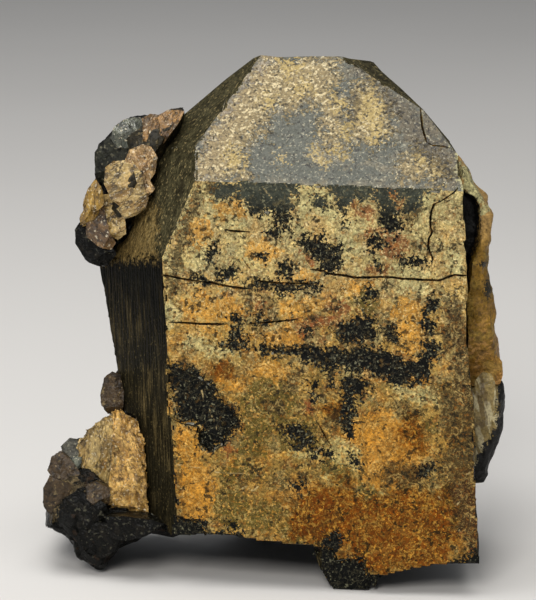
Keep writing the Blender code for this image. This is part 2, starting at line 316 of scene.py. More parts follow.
# Worn, stained and coloured patches of the crust on the front face.
WORN_PATCHES = carried([
    [(220, 184), (232, 187), (240, 183), (246, 180), (262, 178), (300, 178), (300, 187), (296, 192),
     (289, 196), (291, 203), (288, 211), (293, 218), (288, 222), (280, 224), (276, 219), (270, 211),
     (264, 211), (258, 216), (250, 208), (245, 204), (240, 199), (238, 190), (232, 196), (222, 199),
     (215, 197), (213, 192)],
    [(270, 228), (280, 226), (283, 230), (278, 234), (274, 238), (270, 232)],
    [(281, 222), (287, 225), (291, 235), (287, 229), (283, 226)],
    [(246, 177), (330, 178), (440, 184), (440, 190), (420, 188), (380, 185), (330, 184), (300, 182),
     (246, 181)],
    [(325, 181), (372, 180), (376, 190), (372, 197), (366, 198), (358, 200), (352, 198), (345, 205),
     (344, 214), (349, 222), (346, 226), (342, 218), (339, 206), (337, 198), (332, 192),
     (327, 185)],
    [(312, 197), (318, 196), (322, 199), (328, 201), (330, 205), (325, 208), (319, 205),
     (314, 203)],
    [(374, 180), (385, 184), (388, 190), (390, 198), (392, 205), (396, 212), (400, 220), (397, 228),
     (393, 235), (388, 232), (384, 225), (380, 218), (381, 210), (382, 203), (378, 200),
     (374, 196)],
    [(398, 184), (432, 190), (425, 193), (420, 197), (421, 204), (415, 207), (408, 210), (404, 212),
     (404, 203), (406, 200), (400, 196), (397, 190)],
    [(367, 240), (371, 236), (377, 235), (379, 240), (384, 242), (383, 247), (378, 250), (372, 250),
     (369, 246)],
    [(300, 244), (303, 239), (309, 237), (315, 240), (318, 235), (321, 232), (324, 237), (323, 242),
     (328, 246), (335, 247), (341, 246), (341, 252), (338, 258), (340, 264), (337, 269), (330, 271),
     (324, 270), (320, 266), (318, 260), (314, 256), (310, 250), (306, 247)],
    [(400, 257), (410, 259), (424, 258), (424, 263), (417, 264), (409, 263), (402, 261)],
    [(373, 262), (376, 260), (380, 263), (379, 268), (375, 266)],
    [(366, 292), (370, 288), (374, 291), (375, 297), (370, 300), (365, 298)],
    [(220, 270), (226, 267), (232, 268), (237, 271), (235, 276), (228, 279), (220, 279), (216, 277),
     (218, 273)],
    [(191, 276), (197, 275), (203, 279), (205, 284), (199, 284), (194, 281)],
    [(207, 252), (212, 248), (218, 245), (219, 250), (214, 255), (212, 261), (208, 260),
     (206, 256)],
    [(259, 254), (263, 253), (264, 258), (260, 259)],
    [(280, 264), (286, 262), (291, 266), (290, 273), (285, 276), (280, 272)],
    [(250, 281), (272, 283), (300, 283), (318, 283), (318, 290), (312, 289), (300, 286), (292, 291),
     (286, 296), (281, 293), (277, 288), (262, 287), (256, 290), (250, 286)],
    [(233, 318), (238, 316), (241, 322), (240, 328), (243, 335), (241, 341), (236, 339), (230, 335),
     (233, 330), (231, 325)],
    [(217, 341), (228, 343), (236, 340), (246, 343), (244, 347), (235, 349), (225, 346),
     (217, 346)],
    [(256, 315), (260, 312), (263, 318), (262, 324), (257, 323)],
    [(246, 347), (262, 348), (280, 347), (295, 349), (306, 349), (306, 355), (292, 354), (275, 353),
     (258, 352)],
    [(296, 349), (310, 347), (322, 350), (335, 350), (345, 354), (356, 352), (366, 346), (378, 350),
     (390, 353), (398, 357), (404, 364), (411, 363), (420, 359), (424, 352), (421, 346), (425, 342),
     (432, 343), (437, 346), (437, 356), (434, 362), (428, 368), (428, 378), (418, 380), (411, 379),
     (408, 384), (402, 386), (392, 383), (384, 378), (376, 375), (366, 371), (356, 373), (347, 370),
     (340, 367), (336, 371), (330, 370), (322, 368), (314, 364), (306, 360), (299, 356)],
    [(342, 380), (350, 378), (358, 380), (366, 383), (367, 391), (361, 397), (355, 395), (355, 404),
     (353, 414), (354, 424), (353, 434), (348, 438), (345, 430), (342, 420), (344, 408), (345, 396),
     (342, 388)],
    [(327, 370), (332, 372), (335, 386), (331, 386), (327, 378)],
    [(309, 382), (314, 381), (316, 388), (315, 396), (312, 398), (310, 391)],
    [(334, 331), (340, 327), (348, 322), (358, 318), (368, 318), (374, 322), (372, 328), (376, 333),
     (370, 338), (362, 340), (356, 345), (348, 342), (340, 338), (335, 336)],
    [(302, 328), (307, 326), (310, 332), (305, 336), (302, 334)],
    [(386, 327), (391, 324), (395, 330), (396, 338), (392, 341), (387, 336)],
    [(423, 324), (427, 320), (432, 322), (434, 328), (430, 332), (425, 331)],
    [(428, 302), (434, 298), (439, 302), (436, 308), (430, 311), (426, 314), (424, 309),
     (428, 306)],
    [(168, 368), (174, 362), (178, 367), (184, 371), (190, 368), (196, 374), (204, 378), (212, 382),
     (216, 390), (216, 398), (222, 404), (230, 406), (238, 410), (237, 418), (241, 424), (241, 432),
     (236, 430), (230, 434), (226, 440), (222, 444), (215, 449), (211, 453), (206, 452), (202, 449),
     (199, 444), (199, 438), (200, 432), (201, 426), (195, 425), (186, 424), (182, 422), (178, 416),
     (175, 410), (177, 404), (174, 398), (171, 392), (168, 384)],
    [(278, 428), (286, 427), (296, 428), (304, 427), (307, 431), (308, 438), (312, 441), (308, 445),
     (303, 449), (297, 451), (293, 447), (297, 442), (300, 436), (292, 434), (284, 435),
     (279, 432)],
    [(306, 446), (313, 448), (319, 450), (320, 457), (314, 457), (309, 452)],
    [(326, 450), (331, 449), (333, 455), (329, 458), (325, 455)],
    [(349, 457), (353, 454), (357, 457), (359, 463), (355, 467), (351, 464)],
    [(427, 464), (432, 462), (437, 465), (435, 471), (430, 474), (425, 477), (421, 473),
     (424, 468)],
    [(290, 486), (296, 484), (301, 481), (306, 484), (306, 489), (300, 492), (294, 491)],
    [(229, 524), (233, 522), (237, 525), (236, 530), (231, 530)],
    [(215, 534), (242, 534), (243, 540), (215, 540)],
    [(330, 537), (336, 534), (341, 539), (337, 546), (333, 553), (328, 549), (324, 545)],
    [(300, 547), (327, 549), (335, 552), (336, 562), (362, 561), (366, 576), (390, 577), (390, 600),
     (330, 600), (310, 570)],
    [(140, 520), (178, 521), (203, 524), (206, 530), (205, 545), (140, 545)],
    [(484, 544), (476, 551), (470, 556), (462, 560), (455, 563), (470, 572), (492, 572),
     (492, 548)],
], FRONT_SPOT, FRONT_WAY)
BROWN_STAINS = carried([
    [(452, 300), (462, 292), (468, 330), (472, 380), (474, 430), (474, 452), (458, 452), (450, 420),
     (454, 380), (448, 340)],
    [(198, 184), (207, 188), (198, 212), (190, 235), (184, 262), (180, 290), (174, 300), (168, 296),
     (167, 272), (180, 228)],
    [(176, 360), (196, 366), (206, 380), (200, 392), (186, 396), (174, 384)],
    [(436, 452), (452, 446), (470, 444), (486, 448), (489, 470), (490, 505), (489, 530), (480, 545),
     (466, 540), (452, 525), (446, 505), (444, 485), (436, 470)],
    [(203, 181), (219, 183), (218, 196), (208, 197), (204, 190)],
    [(404, 212), (420, 205), (422, 214), (414, 222), (409, 230), (403, 226), (404, 218)],
    [(414, 240), (423, 238), (425, 250), (418, 254), (413, 248)],
    [(429, 219), (439, 220), (440, 231), (434, 234), (429, 228)],
    [(243, 292), (258, 296), (252, 306), (244, 303)],
    [(440, 300), (458, 304), (462, 320), (466, 345), (462, 355), (448, 350), (440, 335),
     (444, 318)],
    [(436, 388), (450, 384), (464, 372), (474, 388), (478, 420), (481, 450), (462, 455), (450, 446),
     (440, 428), (446, 410)],
    [(397, 404), (412, 404), (418, 412), (412, 419), (400, 416)],
    [(384, 464), (395, 462), (402, 470), (400, 482), (388, 486), (380, 476)],
    [(437, 450), (446, 449), (456, 450), (462, 458), (478, 462), (484, 470), (480, 482), (466, 492),
     (452, 494), (441, 486), (440, 464)],
    [(452, 492), (484, 486), (486, 520), (488, 545), (470, 552), (462, 540), (452, 520),
     (448, 505)],
    [(283, 375), (298, 372), (302, 384), (292, 392), (282, 388)],
    [(262, 400), (285, 402), (284, 416), (268, 414)],
    [(330, 408), (345, 405), (344, 425), (333, 430), (322, 424)],
    [(318, 425), (326, 430), (332, 442), (328, 446), (321, 436)],
    [(300, 300), (312, 312), (322, 314), (318, 322), (305, 320)],
    [(384, 318), (396, 322), (400, 342), (392, 347), (384, 338)],
    [(236, 476), (262, 476), (258, 484), (238, 482)],
    [(456, 500), (486, 480), (488, 548), (474, 556), (462, 540), (454, 520)],
    [(452, 330), (468, 330), (474, 372), (478, 400), (466, 396), (452, 372)],
    [(388, 470), (410, 462), (430, 470), (425, 486), (400, 492)],
    [(176, 362), (196, 366), (200, 372), (186, 370)],
], FRONT_SPOT, FRONT_WAY)
RED_PATCHES = carried([
    [(447, 492), (458, 488), (466, 508), (480, 510), (486, 528), (470, 536), (458, 534),
     (450, 515)],
    [(388, 184), (397, 184), (399, 196), (392, 198), (388, 193)],
    [(391, 199), (400, 197), (405, 201), (404, 207), (402, 213), (396, 212), (392, 206)],
    [(376, 193), (382, 191), (385, 195), (381, 198), (376, 197)],
    [(352, 204), (358, 202), (366, 204), (373, 207), (376, 213), (372, 217), (362, 218),
     (352, 215)],
    [(368, 228), (376, 225), (384, 229), (390, 236), (398, 232), (404, 234), (410, 240), (412, 250),
     (404, 254), (398, 258), (390, 262), (384, 256), (380, 252), (385, 245), (383, 239), (376, 234),
     (368, 235), (365, 232)],
    [(368, 270), (373, 266), (380, 270), (386, 262), (390, 268), (384, 275), (372, 276)],
    [(324, 308), (330, 302), (340, 300), (348, 304), (350, 310), (343, 314), (333, 313),
     (326, 312)],
    [(310, 318), (322, 315), (335, 318), (345, 320), (338, 326), (328, 328), (318, 326), (312, 332),
     (308, 327)],
    [(256, 302), (261, 299), (265, 304), (263, 311), (258, 309)],
    [(301, 250), (308, 254), (314, 262), (312, 268), (305, 262), (300, 256)],
    [(455, 480), (486, 478), (488, 520), (488, 560), (470, 552), (462, 530), (455, 505)],
    [(303, 402), (310, 400), (313, 408), (306, 412)],
    [(222, 445), (230, 441), (236, 452), (227, 457)],
    [(296, 320), (306, 318), (312, 330), (304, 338), (296, 332)],
], FRONT_SPOT, FRONT_WAY)
RUST_PATCHES = carried([
    [(300, 498), (340, 482), (364, 496), (400, 490), (452, 488), (458, 530), (452, 562), (400, 574),
     (352, 576), (342, 545), (318, 542), (296, 530)],
    [(205, 362), (226, 362), (232, 374), (214, 380)],
    [(330, 392), (345, 396), (343, 414), (328, 418)],
    [(424, 544), (430, 539), (442, 538), (449, 543), (450, 552), (446, 560), (436, 561),
     (426, 556)],
    [(366, 530), (374, 527), (381, 532), (380, 541), (373, 542), (367, 537)],
    [(306, 494), (330, 480), (352, 482), (365, 500), (362, 520), (345, 535), (330, 530), (310, 545),
     (290, 540), (290, 510)],
    [(340, 535), (362, 530), (400, 540), (420, 540), (425, 562), (400, 574), (366, 574), (362, 560),
     (340, 558)],
    [(395, 490), (440, 490), (450, 512), (440, 530), (410, 535), (392, 515)],
    [(398, 420), (412, 412), (420, 430), (420, 452), (408, 455), (398, 440)],
], FRONT_SPOT, FRONT_WAY)
GOLD_PATCHES = carried([
    [(200, 326), (232, 325), (230, 332), (215, 336), (203, 335)],
    [(258, 335), (270, 326), (285, 325), (297, 330), (298, 342), (285, 346), (268, 344)],
    [(340, 286), (362, 280), (372, 284), (366, 292), (345, 296)],
    [(218, 378), (232, 378), (244, 380), (246, 388), (236, 392), (226, 390)],
    [(182, 298), (205, 293), (236, 296), (243, 306), (238, 318), (222, 322), (200, 320),
     (186, 314)],
    [(280, 300), (310, 296), (330, 300), (325, 312), (300, 318), (280, 314)],
    [(252, 365), (275, 360), (290, 368), (285, 380), (262, 384), (252, 376)],
    [(180, 425), (200, 430), (200, 460), (215, 475), (212, 520), (190, 520), (180, 480),
     (176, 450)],
    [(345, 420), (380, 410), (410, 420), (425, 450), (415, 480), (380, 490), (350, 480),
     (338, 450)],
    [(400, 296), (424, 300), (428, 345), (415, 355), (400, 345), (392, 320)],
    [(213, 202), (240, 200), (250, 212), (236, 222), (215, 216)],
    [(186, 220), (205, 216), (214, 232), (200, 246), (184, 240)],
    [(240, 245), (262, 240), (284, 250), (270, 262), (246, 262)],
    [(300, 268), (322, 272), (318, 280), (296, 280)],
], FRONT_SPOT, FRONT_WAY)
PALE_PATCHES = carried([
    [(190, 256), (196, 250), (203, 250), (205, 258), (203, 268), (196, 270), (190, 264)],
    [(222, 214), (235, 211), (246, 213), (247, 224), (240, 230), (225, 228)],
    [(182, 343), (195, 336), (205, 340), (215, 343), (214, 350), (200, 352), (184, 350)],
    [(392, 270), (402, 264), (415, 268), (425, 270), (430, 280), (428, 292), (420, 296), (408, 288),
     (400, 290), (396, 280)],
    [(340, 238), (352, 236), (362, 242), (358, 248), (352, 256), (358, 265), (366, 272), (355, 274),
     (345, 262), (338, 250)],
    [(444, 250), (455, 245), (462, 255), (462, 270), (455, 276), (446, 270)],
    [(422, 197), (430, 194), (434, 200), (430, 212), (424, 214)],
    [(345, 372), (352, 368), (360, 369), (352, 377), (344, 378)],
    [(366, 548), (378, 545), (390, 548), (388, 556), (372, 556)],
    [(366, 520), (376, 518), (380, 525), (370, 528)],
    [(396, 526), (408, 528), (408, 536), (398, 535)],
    [(290, 452), (312, 448), (322, 458), (300, 462)],
    [(320, 440), (342, 438), (350, 446), (360, 452), (360, 470), (345, 482), (326, 474),
     (322, 458)],
    [(302, 182), (318, 188), (330, 190), (338, 206), (340, 222), (320, 216), (300, 218),
     (292, 206)],
    [(160, 300), (176, 304), (180, 320), (166, 330)],
    [(168, 260), (180, 262), (184, 272), (166, 272)],
    [(350, 222), (366, 220), (366, 232), (352, 236)],
    [(370, 492), (382, 490), (386, 498), (374, 502)],
    [(396, 384), (415, 386), (440, 392), (436, 402), (420, 406), (400, 396)],
    [(200, 345), (246, 350), (240, 356), (205, 356)],
], FRONT_SPOT, FRONT_WAY)
OLIVE_PATCHES = carried([
    [(221, 470), (230, 462), (245, 460), (262, 465), (268, 478), (262, 482), (242, 482), (240, 490),
     (248, 498), (262, 500), (282, 503), (286, 515), (282, 530), (262, 534), (240, 532), (222, 528),
     (212, 520), (214, 505), (218, 490)],
    [(246, 385), (262, 378), (285, 385), (296, 398), (292, 415), (280, 425), (270, 440), (262, 455),
     (245, 460), (240, 448), (243, 430), (238, 410), (240, 395)],
    [(352, 500), (362, 490), (376, 492), (384, 500), (380, 510), (366, 512), (355, 508)],
    [(425, 425), (438, 422), (440, 436), (430, 440)],
    [(280, 420), (300, 416), (320, 430), (330, 450), (300, 448), (280, 446)],
    [(325, 455), (345, 466), (362, 470), (360, 482), (338, 482), (320, 470)],
    [(360, 302), (380, 304), (380, 316), (362, 314)],
    [(300, 505), (320, 520), (318, 545), (290, 545), (284, 520)],
    [(352, 300), (362, 292), (372, 300), (378, 312), (366, 314)],
], FRONT_SPOT, FRONT_WAY)

# Patches on the sloping top face and its right corner.
SMOOTH_GREY = carried([
    [(250, 150), (256, 140), (268, 134), (275, 128), (268, 122), (272, 115), (282, 112), (296, 116),
     (305, 104), (318, 106), (322, 114), (318, 120), (322, 128), (322, 134), (315, 140), (310, 148),
     (308, 158), (318, 168), (330, 165), (345, 168), (358, 165), (375, 168), (380, 175), (340, 178),
     (300, 177), (262, 177), (250, 175), (246, 165)],
    [(330, 80), (350, 78), (356, 95), (345, 100), (332, 95)],
    [(372, 125), (392, 130), (398, 150), (380, 158), (366, 148)],
    [(352, 140), (362, 142), (372, 158), (356, 164), (348, 150)],
], TOP_SPOT, TOP_WAY)
BEIGE_CRUST = carried([
    [(270, 60), (300, 56), (334, 58), (338, 75), (330, 90), (345, 95), (352, 110), (342, 118),
     (335, 125), (326, 120), (320, 108), (305, 100), (300, 108), (290, 112), (280, 108), (270, 112),
     (265, 125), (262, 135), (250, 140), (243, 150), (245, 165), (248, 178), (192, 178), (196, 165),
     (210, 140), (228, 112), (245, 85)],
    [(322, 110), (345, 116), (345, 150), (330, 148), (320, 135)],
    [(400, 160), (418, 150), (440, 158), (452, 170), (440, 182), (400, 178)],
    [(352, 85), (375, 80), (392, 112), (390, 140), (372, 145), (350, 138)],
], TOP_SPOT, TOP_WAY)
YELLOW_CRUST = carried([
    [(343, 120), (350, 117), (354, 121), (352, 130), (350, 138), (344, 142), (341, 138),
     (344, 130)],
    [(362, 100), (364, 90), (370, 86), (374, 93), (376, 100), (382, 103), (385, 110), (382, 120),
     (382, 130), (379, 138), (372, 138), (368, 128), (362, 122), (360, 112)],
    [(331, 152), (338, 149), (345, 152), (348, 158), (343, 161), (335, 157)],
    [(310, 152), (316, 148), (320, 152), (325, 158), (328, 163), (322, 165), (316, 160)],
    [(275, 156), (280, 153), (284, 156), (282, 160), (277, 160)],
    [(368, 74), (374, 71), (378, 76), (374, 80)],
    [(280, 60), (298, 58), (300, 68), (290, 76), (282, 72)],
    [(300, 80), (308, 76), (312, 88), (304, 92)],
    [(262, 96), (272, 94), (276, 104), (266, 108)],
    [(226, 150), (240, 148), (242, 164), (230, 168)],
    [(415, 152), (426, 154), (428, 164), (418, 166)],
    [(432, 168), (444, 166), (446, 178), (434, 180)],
    [(330, 96), (344, 96), (348, 106), (336, 110)],
    [(290, 84), (302, 86), (302, 94), (292, 94)],
], TOP_SPOT, TOP_WAY)
PALE_COAT = carried([
    [(455, 148), (466, 150), (490, 190), (490, 210), (470, 205), (462, 190), (455, 172)],
], TOP_SPOT, TOP_WAY)
PINK_GREY = carried([
    [(195, 178), (203, 142), (222, 110), (243, 80), (260, 58), (276, 58), (264, 82), (246, 112),
     (230, 142), (218, 178)],
], TOP_SPOT, TOP_WAY)
MURKY_BROWN = carried([
    [(350, 58), (364, 62), (400, 95), (425, 115), (452, 150), (464, 182), (440, 184), (424, 160),
     (410, 146), (396, 122), (384, 100), (368, 80), (350, 70)],
    [(354, 92), (362, 90), (364, 104), (356, 118), (350, 122), (350, 108)],
], TOP_SPOT, TOP_WAY)

# Tan films on the left shoulder, and brown lumps in the joined matrix.
TAN_SIDES = carried([
    [(118, 200), (132, 205), (150, 200), (158, 206), (157, 230), (156, 258), (130, 260), (104, 262),
     (112, 236), (118, 215)],
], SIDE_SPOT, SIDE_WAY)
BROWN_LUMPS = upright([
    [(47, 478), (52, 462), (62, 458), (72, 462), (78, 474), (82, 480), (72, 490), (60, 500),
     (54, 512), (44, 508), (43, 495)],
    [(88, 484), (104, 482), (110, 492), (106, 504), (92, 502), (84, 494)],
], -5)

# Cracks, and the broken rims of the crust with a painted highlight along them, as lines on the
# face.
CRACKS = carried([
    [(158, 275), (168, 276), (178, 278), (190, 280.5), (200, 281.5), (212, 283), (225, 285.5),
     (240, 288), (252, 289)],
    [(252, 281), (262, 281.5), (275, 283), (290, 283.5), (304, 284), (316, 284)],
    [(310, 269), (318, 270), (325, 271.5), (328, 273.5), (338, 274.5), (348, 276), (358, 277.5),
     (368, 277), (380, 277), (392, 277.5), (402, 279), (414, 279), (425, 280), (440, 280.5),
     (446, 278), (454, 275), (462, 275.5), (470, 275)],
    [(168, 322), (185, 323), (200, 324), (216, 324), (233, 324)],
    [(244, 324), (262, 323), (280, 321), (298, 319)],
    [(458, 182), (457, 189), (452, 194), (446, 198), (440, 201.5), (434, 204), (431.5, 210),
     (430.5, 218), (430, 226), (432, 232), (428.5, 239), (428, 246), (430, 252), (433, 258),
     (432, 264)],
    [(224, 229), (232, 231), (240, 231.5), (250, 232)],
    [(258, 233), (270, 233)],
    [(197, 242), (203, 251)],
    [(242, 258), (250, 269)],
    [(316, 420), (322, 430), (326, 438), (331, 446)],
], FRONT_SPOT, FRONT_WAY)
SHOULDER_CRACK = carried([
    [(420, 106), (421, 118), (422.5, 127), (424.5, 135), (426.5, 143)],
    [(425, 141.5), (432, 145), (443, 146), (453, 149)],
], TOP_SPOT, TOP_WAY)
RIM_HIGHLIGHT_LINES = carried([
    [(173, 417), (178, 418), (182, 421), (183, 423)],
    [(181, 426), (190, 426), (200, 427), (201, 431)],
    [(199, 439), (200, 446), (203, 450), (210, 454), (214, 452)],
    [(213, 451), (220, 447), (226, 443), (229, 441), (232, 446)],
    [(177, 465), (200, 468), (220, 473), (240, 474), (258, 475)],
    [(242, 489), (247, 486), (252, 491), (258, 487)],
    [(221, 341), (227, 342)],
    [(230, 330), (236, 339)],
    [(244, 343), (240, 347)],
    [(264, 189), (268, 194), (272, 199)],
    [(283, 181), (288, 188)],
    [(254, 181), (259, 186)],
    [(209, 411), (213, 421), (217, 432)],
    [(201, 392), (204, 402)],
    [(458, 193), (466, 187), (475, 181)],
    [(462, 195), (470, 190), (477, 187)],
    [(438, 496), (442, 500)],
    [(466, 475), (474, 470), (480, 468)],
    [(206, 527), (206, 536)],
    [(376, 284), (382, 282)],
    [(428, 476), (430, 473)],
    [(212, 480), (214, 492)],
    [(176, 485), (185, 492), (186, 505)],
    [(340, 447), (350, 441)],
    [(420, 520), (421, 519)],
    [(459, 532), (460, 530)],
    [(316, 452), (322, 447)],
    [(168, 397), (178, 392)],
    [(172, 400), (176, 410)],
    [(456, 506), (459, 502)],
], FRONT_SPOT, FRONT_WAY)

# The grown faces and the breaks: bearing and lift of each, its finish, and how squarely a
# facet has to face that way to take the finish.
CRUST, SHEEN, STREAKS, BREAK = range(4)
FACES = [
    (-7, 3, CRUST, 0.90),
    (-6, 45, SHEEN, 0.93),
    (-62, -1, STREAKS, 0.93),
    (-66, 21.5, STREAKS, 0.93),
    (-71, 46.5, STREAKS, 0.93),
    (-135, 42, STREAKS, 0.93),
    (72, 63.5, STREAKS, 0.9),
    (173, 76, SHEEN, 0.9),
    (173, -2, CRUST, 0.85),
    (173, 44, CRUST, 0.85),
    (-125, -17.5, STREAKS, 0.85),
    (97, 2, STREAKS, 0.85),
    (100, 40.5, STREAKS, 0.9),
]
FACE_WAYS = np.array([facing_way(bearing, lift) for bearing, lift, _, _ in FACES])

crystal = copy_of("gadolinite_crystal", "crystal_with_crust")
work(crystal, "REMESH", mode="SHARP", octree_depth=8, scale=0.93, sharpness=1.0)
corners, facing = points_of(crystal)
weigh(crystal, "out_of_sight", (facing[:, 1] > -0.35) * 1.0)
work(
    crystal,
    "DECIMATE",
    ratio=0.45,
    vertex_group="out_of_sight",
    vertex_group_factor=10,
)

# Where each finish lies: depths inside the worn, stained and coloured patches.
corners, facing = points_of(crystal)
sheet = corners[:, [0, 2]]
fray = roll(corners, 1.5, 3)
behind = facing[:, 1] > 0.1
wild = roll(corners, 7.0, 5, 5)
bare = inside(sheet, WORN_PATCHES) + 0.2
bare = np.where(behind, np.maximum(2.2 * wild + 0.5, 9 - corners[:, 2]), bare)
note(crystal, "bare", bare)
for name, outlines, out_of_sight in (
    ("stain", BROWN_STAINS, 1.5 * roll(corners, 6, 8)),
    ("red", RED_PATCHES, -2.0),
    ("rust", RUST_PATCHES, 2.0 * roll(corners, 9, 9)),
    ("gold", GOLD_PATCHES, -2.0),
    ("pale", PALE_PATCHES, -2.0),
    ("olive", OLIVE_PATCHES, 2.0 * roll(corners, 8, 4)),
):
    note(crystal, name, np.where(behind, out_of_sight, inside(sheet, outlines)))
for name, outlines in (
    ("sheen", SMOOTH_GREY),
    ("beige", BEIGE_CRUST),
    ("yellow", YELLOW_CRUST),
    ("coat", PALE_COAT),
    ("pink", PINK_GREY),
    ("murk", MURKY_BROWN),
):
    note(crystal, name, inside(sheet, outlines))
# rim: closeness to the broken crust rims that get a painted highlight.
note(crystal, "rim", np.where(behind, 0, 1.5 - beside(sheet, RIM_HIGHLIGHT_LINES)))
note(crystal, "tan", inside(sheet, TAN_SIDES))
note(crystal, "lump", inside(sheet, BROWN_LUMPS))

# The worn patches lie a little lower than the crust, and the snapped faces are shelly.
on_front = facing @ FRONT_WAY > 0.8
on_top = facing @ TOP_WAY > 0.9
flat = on_front | on_top | (facing[:, 2] > 0.35) | (facing[:, 0] < -0.85)
worn = np.clip((bare + 0.35 * fray) / 0.6 + 0.5, 0, 1) * on_front
weigh(crystal, "worn", worn)
work(crystal, "DISPLACE", strength=-0.16 * MM, mid_level=0, vertex_group="worn")
at_edge = (facing @ FACE_WAYS.T).max(1) < 0.985
on_ridge = (facing[:, 2] > 0.35) & (facing[:, 1] < -0.75)
chipped = np.clip(2 * roll(corners, 3, 77, 2) + 0.2, 0, 1) * at_edge
weigh(crystal, "chipped", np.where(on_ridge, 0.2, 1) * chipped)
work(crystal, "DISPLACE", strength=-0.3 * MM, mid_level=0, vertex_group="chipped")
rough_grain = bpy.data.textures.new("shelly_break", "CLOUDS")
rough_grain.noise_scale = 2.6 * MM
rough_grain.noise_depth = 4
rough_grain.cloud_type = "COLOR"
rough_grain.intensity = 0.9
shelly = np.where(flat | (facing[:, 1] > 0.3), 0.0, 1.0)
shelly = np.where(corners[:, 2] < 26, shelly, 0)
weigh(crystal, "shelly", shelly)
work(
    crystal,
    "DISPLACE",
    texture=rough_grain,
    texture_coords="LOCAL",
    strength=-0.9 * MM,
    mid_level=0,
    vertex_group="shelly",
)

corners, facing = points_of(crystal)
corners[:, 2] = np.maximum(corners[:, 2], 0)
crystal.data.vertices.foreach_set("co", (corners * MM).ravel())
crystal.data.update()


def groove(name, line, spot, way, wide, deep, finish):
    """A wedge drawn along a line on a face, ready to be cut away."""
    across = (line[-1][0] - line[0][0]) ** 2 > (line[-1][1] - line[0][1]) ** 2
    path = []
    for x, z in line:
        y = spot[1] - (way[0] * (x - spot[0]) + way[2] * (z - spot[2])) / way[1]
        path.append(Vector((x, y, z)) * MM + Vector(way) * 0.15 * MM)
    bpy.ops.object.select_all(action="DESELECT")
    bpy.ops.mesh.primitive_circle_add(
        vertices=3, radius=1 * MM, fill_type="NGON", location=(0, 0, 0)
    )
    wedge = bpy.context.object
    wedge.name = name
    side = Vector((0, 0, 1)) if across else Vector((1, 0, 0))
    tip = -Vector(way) * (deep + 0.15) * MM
    for corner, place in zip(
        wedge.data.vertices, (side * wide * MM, -side * wide * MM, tip)
    ):
        corner.co = place * 0.3 + path[0]
    bpy.ops.object.mode_set(mode="EDIT")
    bpy.ops.mesh.select_all(action="SELECT")
    for number, (here, there) in enumerate(zip(path, path[1:])):
        bpy.ops.mesh.extrude_region_move(
            TRANSFORM_OT_translate={"value": there - here}
        )
        if number == 0:
            bpy.ops.transform.resize(value=(3.3,) * 3, center_override=there)
        if number == len(path) - 2:
            bpy.ops.transform.resize(value=(0.3,) * 3, center_override=there)
    bpy.ops.mesh.select_all(action="SELECT")
    bpy.ops.mesh.normals_make_consistent(inside=False)
    bpy.ops.object.mode_set(mode="OBJECT")
    wedge.data.materials.append(finish)
    return wedge


def new_group(name, takes, gives):
    """An empty shader group: its tree, what comes in and what goes out."""
    tree = bpy.data.node_groups.new(name, "ShaderNodeTree")
    for label, value in takes:
        kind = "NodeSocketVector" if value is None else "NodeSocketFloat"
        socket = tree.interface.new_socket(
            name=label, in_out="INPUT", socket_type=kind
        )
        if value is not None:
            socket.default_value = value
    tree.interface.new_socket(
        name=gives, in_out="OUTPUT", socket_type="NodeSocketFloat"
    )
    come, go = tree.nodes.new("NodeGroupInput"), tree.nodes.new("NodeGroupOutput")
    return tree, come.outputs, go.inputs[0]


def sums(tree, operation, first, second, third=0.0, clamp=False):
    """One sum of two or three numbers or sockets."""
    return add(
        tree, "Math", [(0, first), (1, second), (2, third)],
        operation=operation, use_clamp=clamp,
    ).outputs[0]


def noise_of(tree, place, fineness, detail=3.0, rough=0.5):
    """Cloudy noise, its humps about 1 / fineness millimetres across."""
    return add(
        tree,
        "TexNoise",
        [("Vector", place), ("Scale", fineness), ("Detail", detail), ("Roughness", rough)],
    ).outputs[0]


# Ragged edge: a patch known by its depth gets a frayed outline that crumbles into crumbs.
RAGGED, come, go = new_group(
    "ragged_edge",
    [("Place", None), ("Depth", 0), ("Fray", 4), ("Fineness", 1), ("Crumble", 3),
     ("Blur", 0.15)],
    "Cover",
)
wander = sums(RAGGED, "SUBTRACT", noise_of(RAGGED, come["Place"], come["Fineness"], 6, 0.68), 0.5)
wander = sums(RAGGED, "MULTIPLY_ADD", wander, come["Fray"], come["Depth"])
finer = sums(RAGGED, "MULTIPLY", come["Fineness"], 3.3)
crumbs = sums(RAGGED, "SUBTRACT", noise_of(RAGGED, come["Place"], finer, 3, 0.6), 0.5)
wander = sums(RAGGED, "MULTIPLY_ADD", crumbs, come["Crumble"], wander)
wander = sums(RAGGED, "DIVIDE", wander, come["Blur"])
RAGGED.links.new(sums(RAGGED, "ADD", wander, 0.5, clamp=True), go)

# Mottle: lighter and darker by a share either side of 1, at one fineness.
MOTTLE, come, go = new_group(
    "mottle", [("Place", None), ("Fineness", 1), ("Spread", 1)], "Tone"
)
wander = sums(MOTTLE, "SUBTRACT", noise_of(MOTTLE, come["Place"], come["Fineness"], 4, 0.6), 0.5)
wander = sums(MOTTLE, "MULTIPLY_ADD", wander, come["Spread"], 1.0)
MOTTLE.links.new(sums(MOTTLE, "MAXIMUM", wander, 0.05), go)

# Grit: crisp specks, rarer as Rarity goes up from about 0.5 to 0.7.
GRIT, come, go = new_group(
    "grit", [("Place", None), ("Fineness", 2), ("Rarity", 0.6)], "Specks"
)
wander = sums(GRIT, "SUBTRACT", noise_of(GRIT, come["Place"], come["Fineness"], 2), come["Rarity"])
GRIT.links.new(sums(GRIT, "MULTIPLY", wander, 20.0, clamp=True), go)

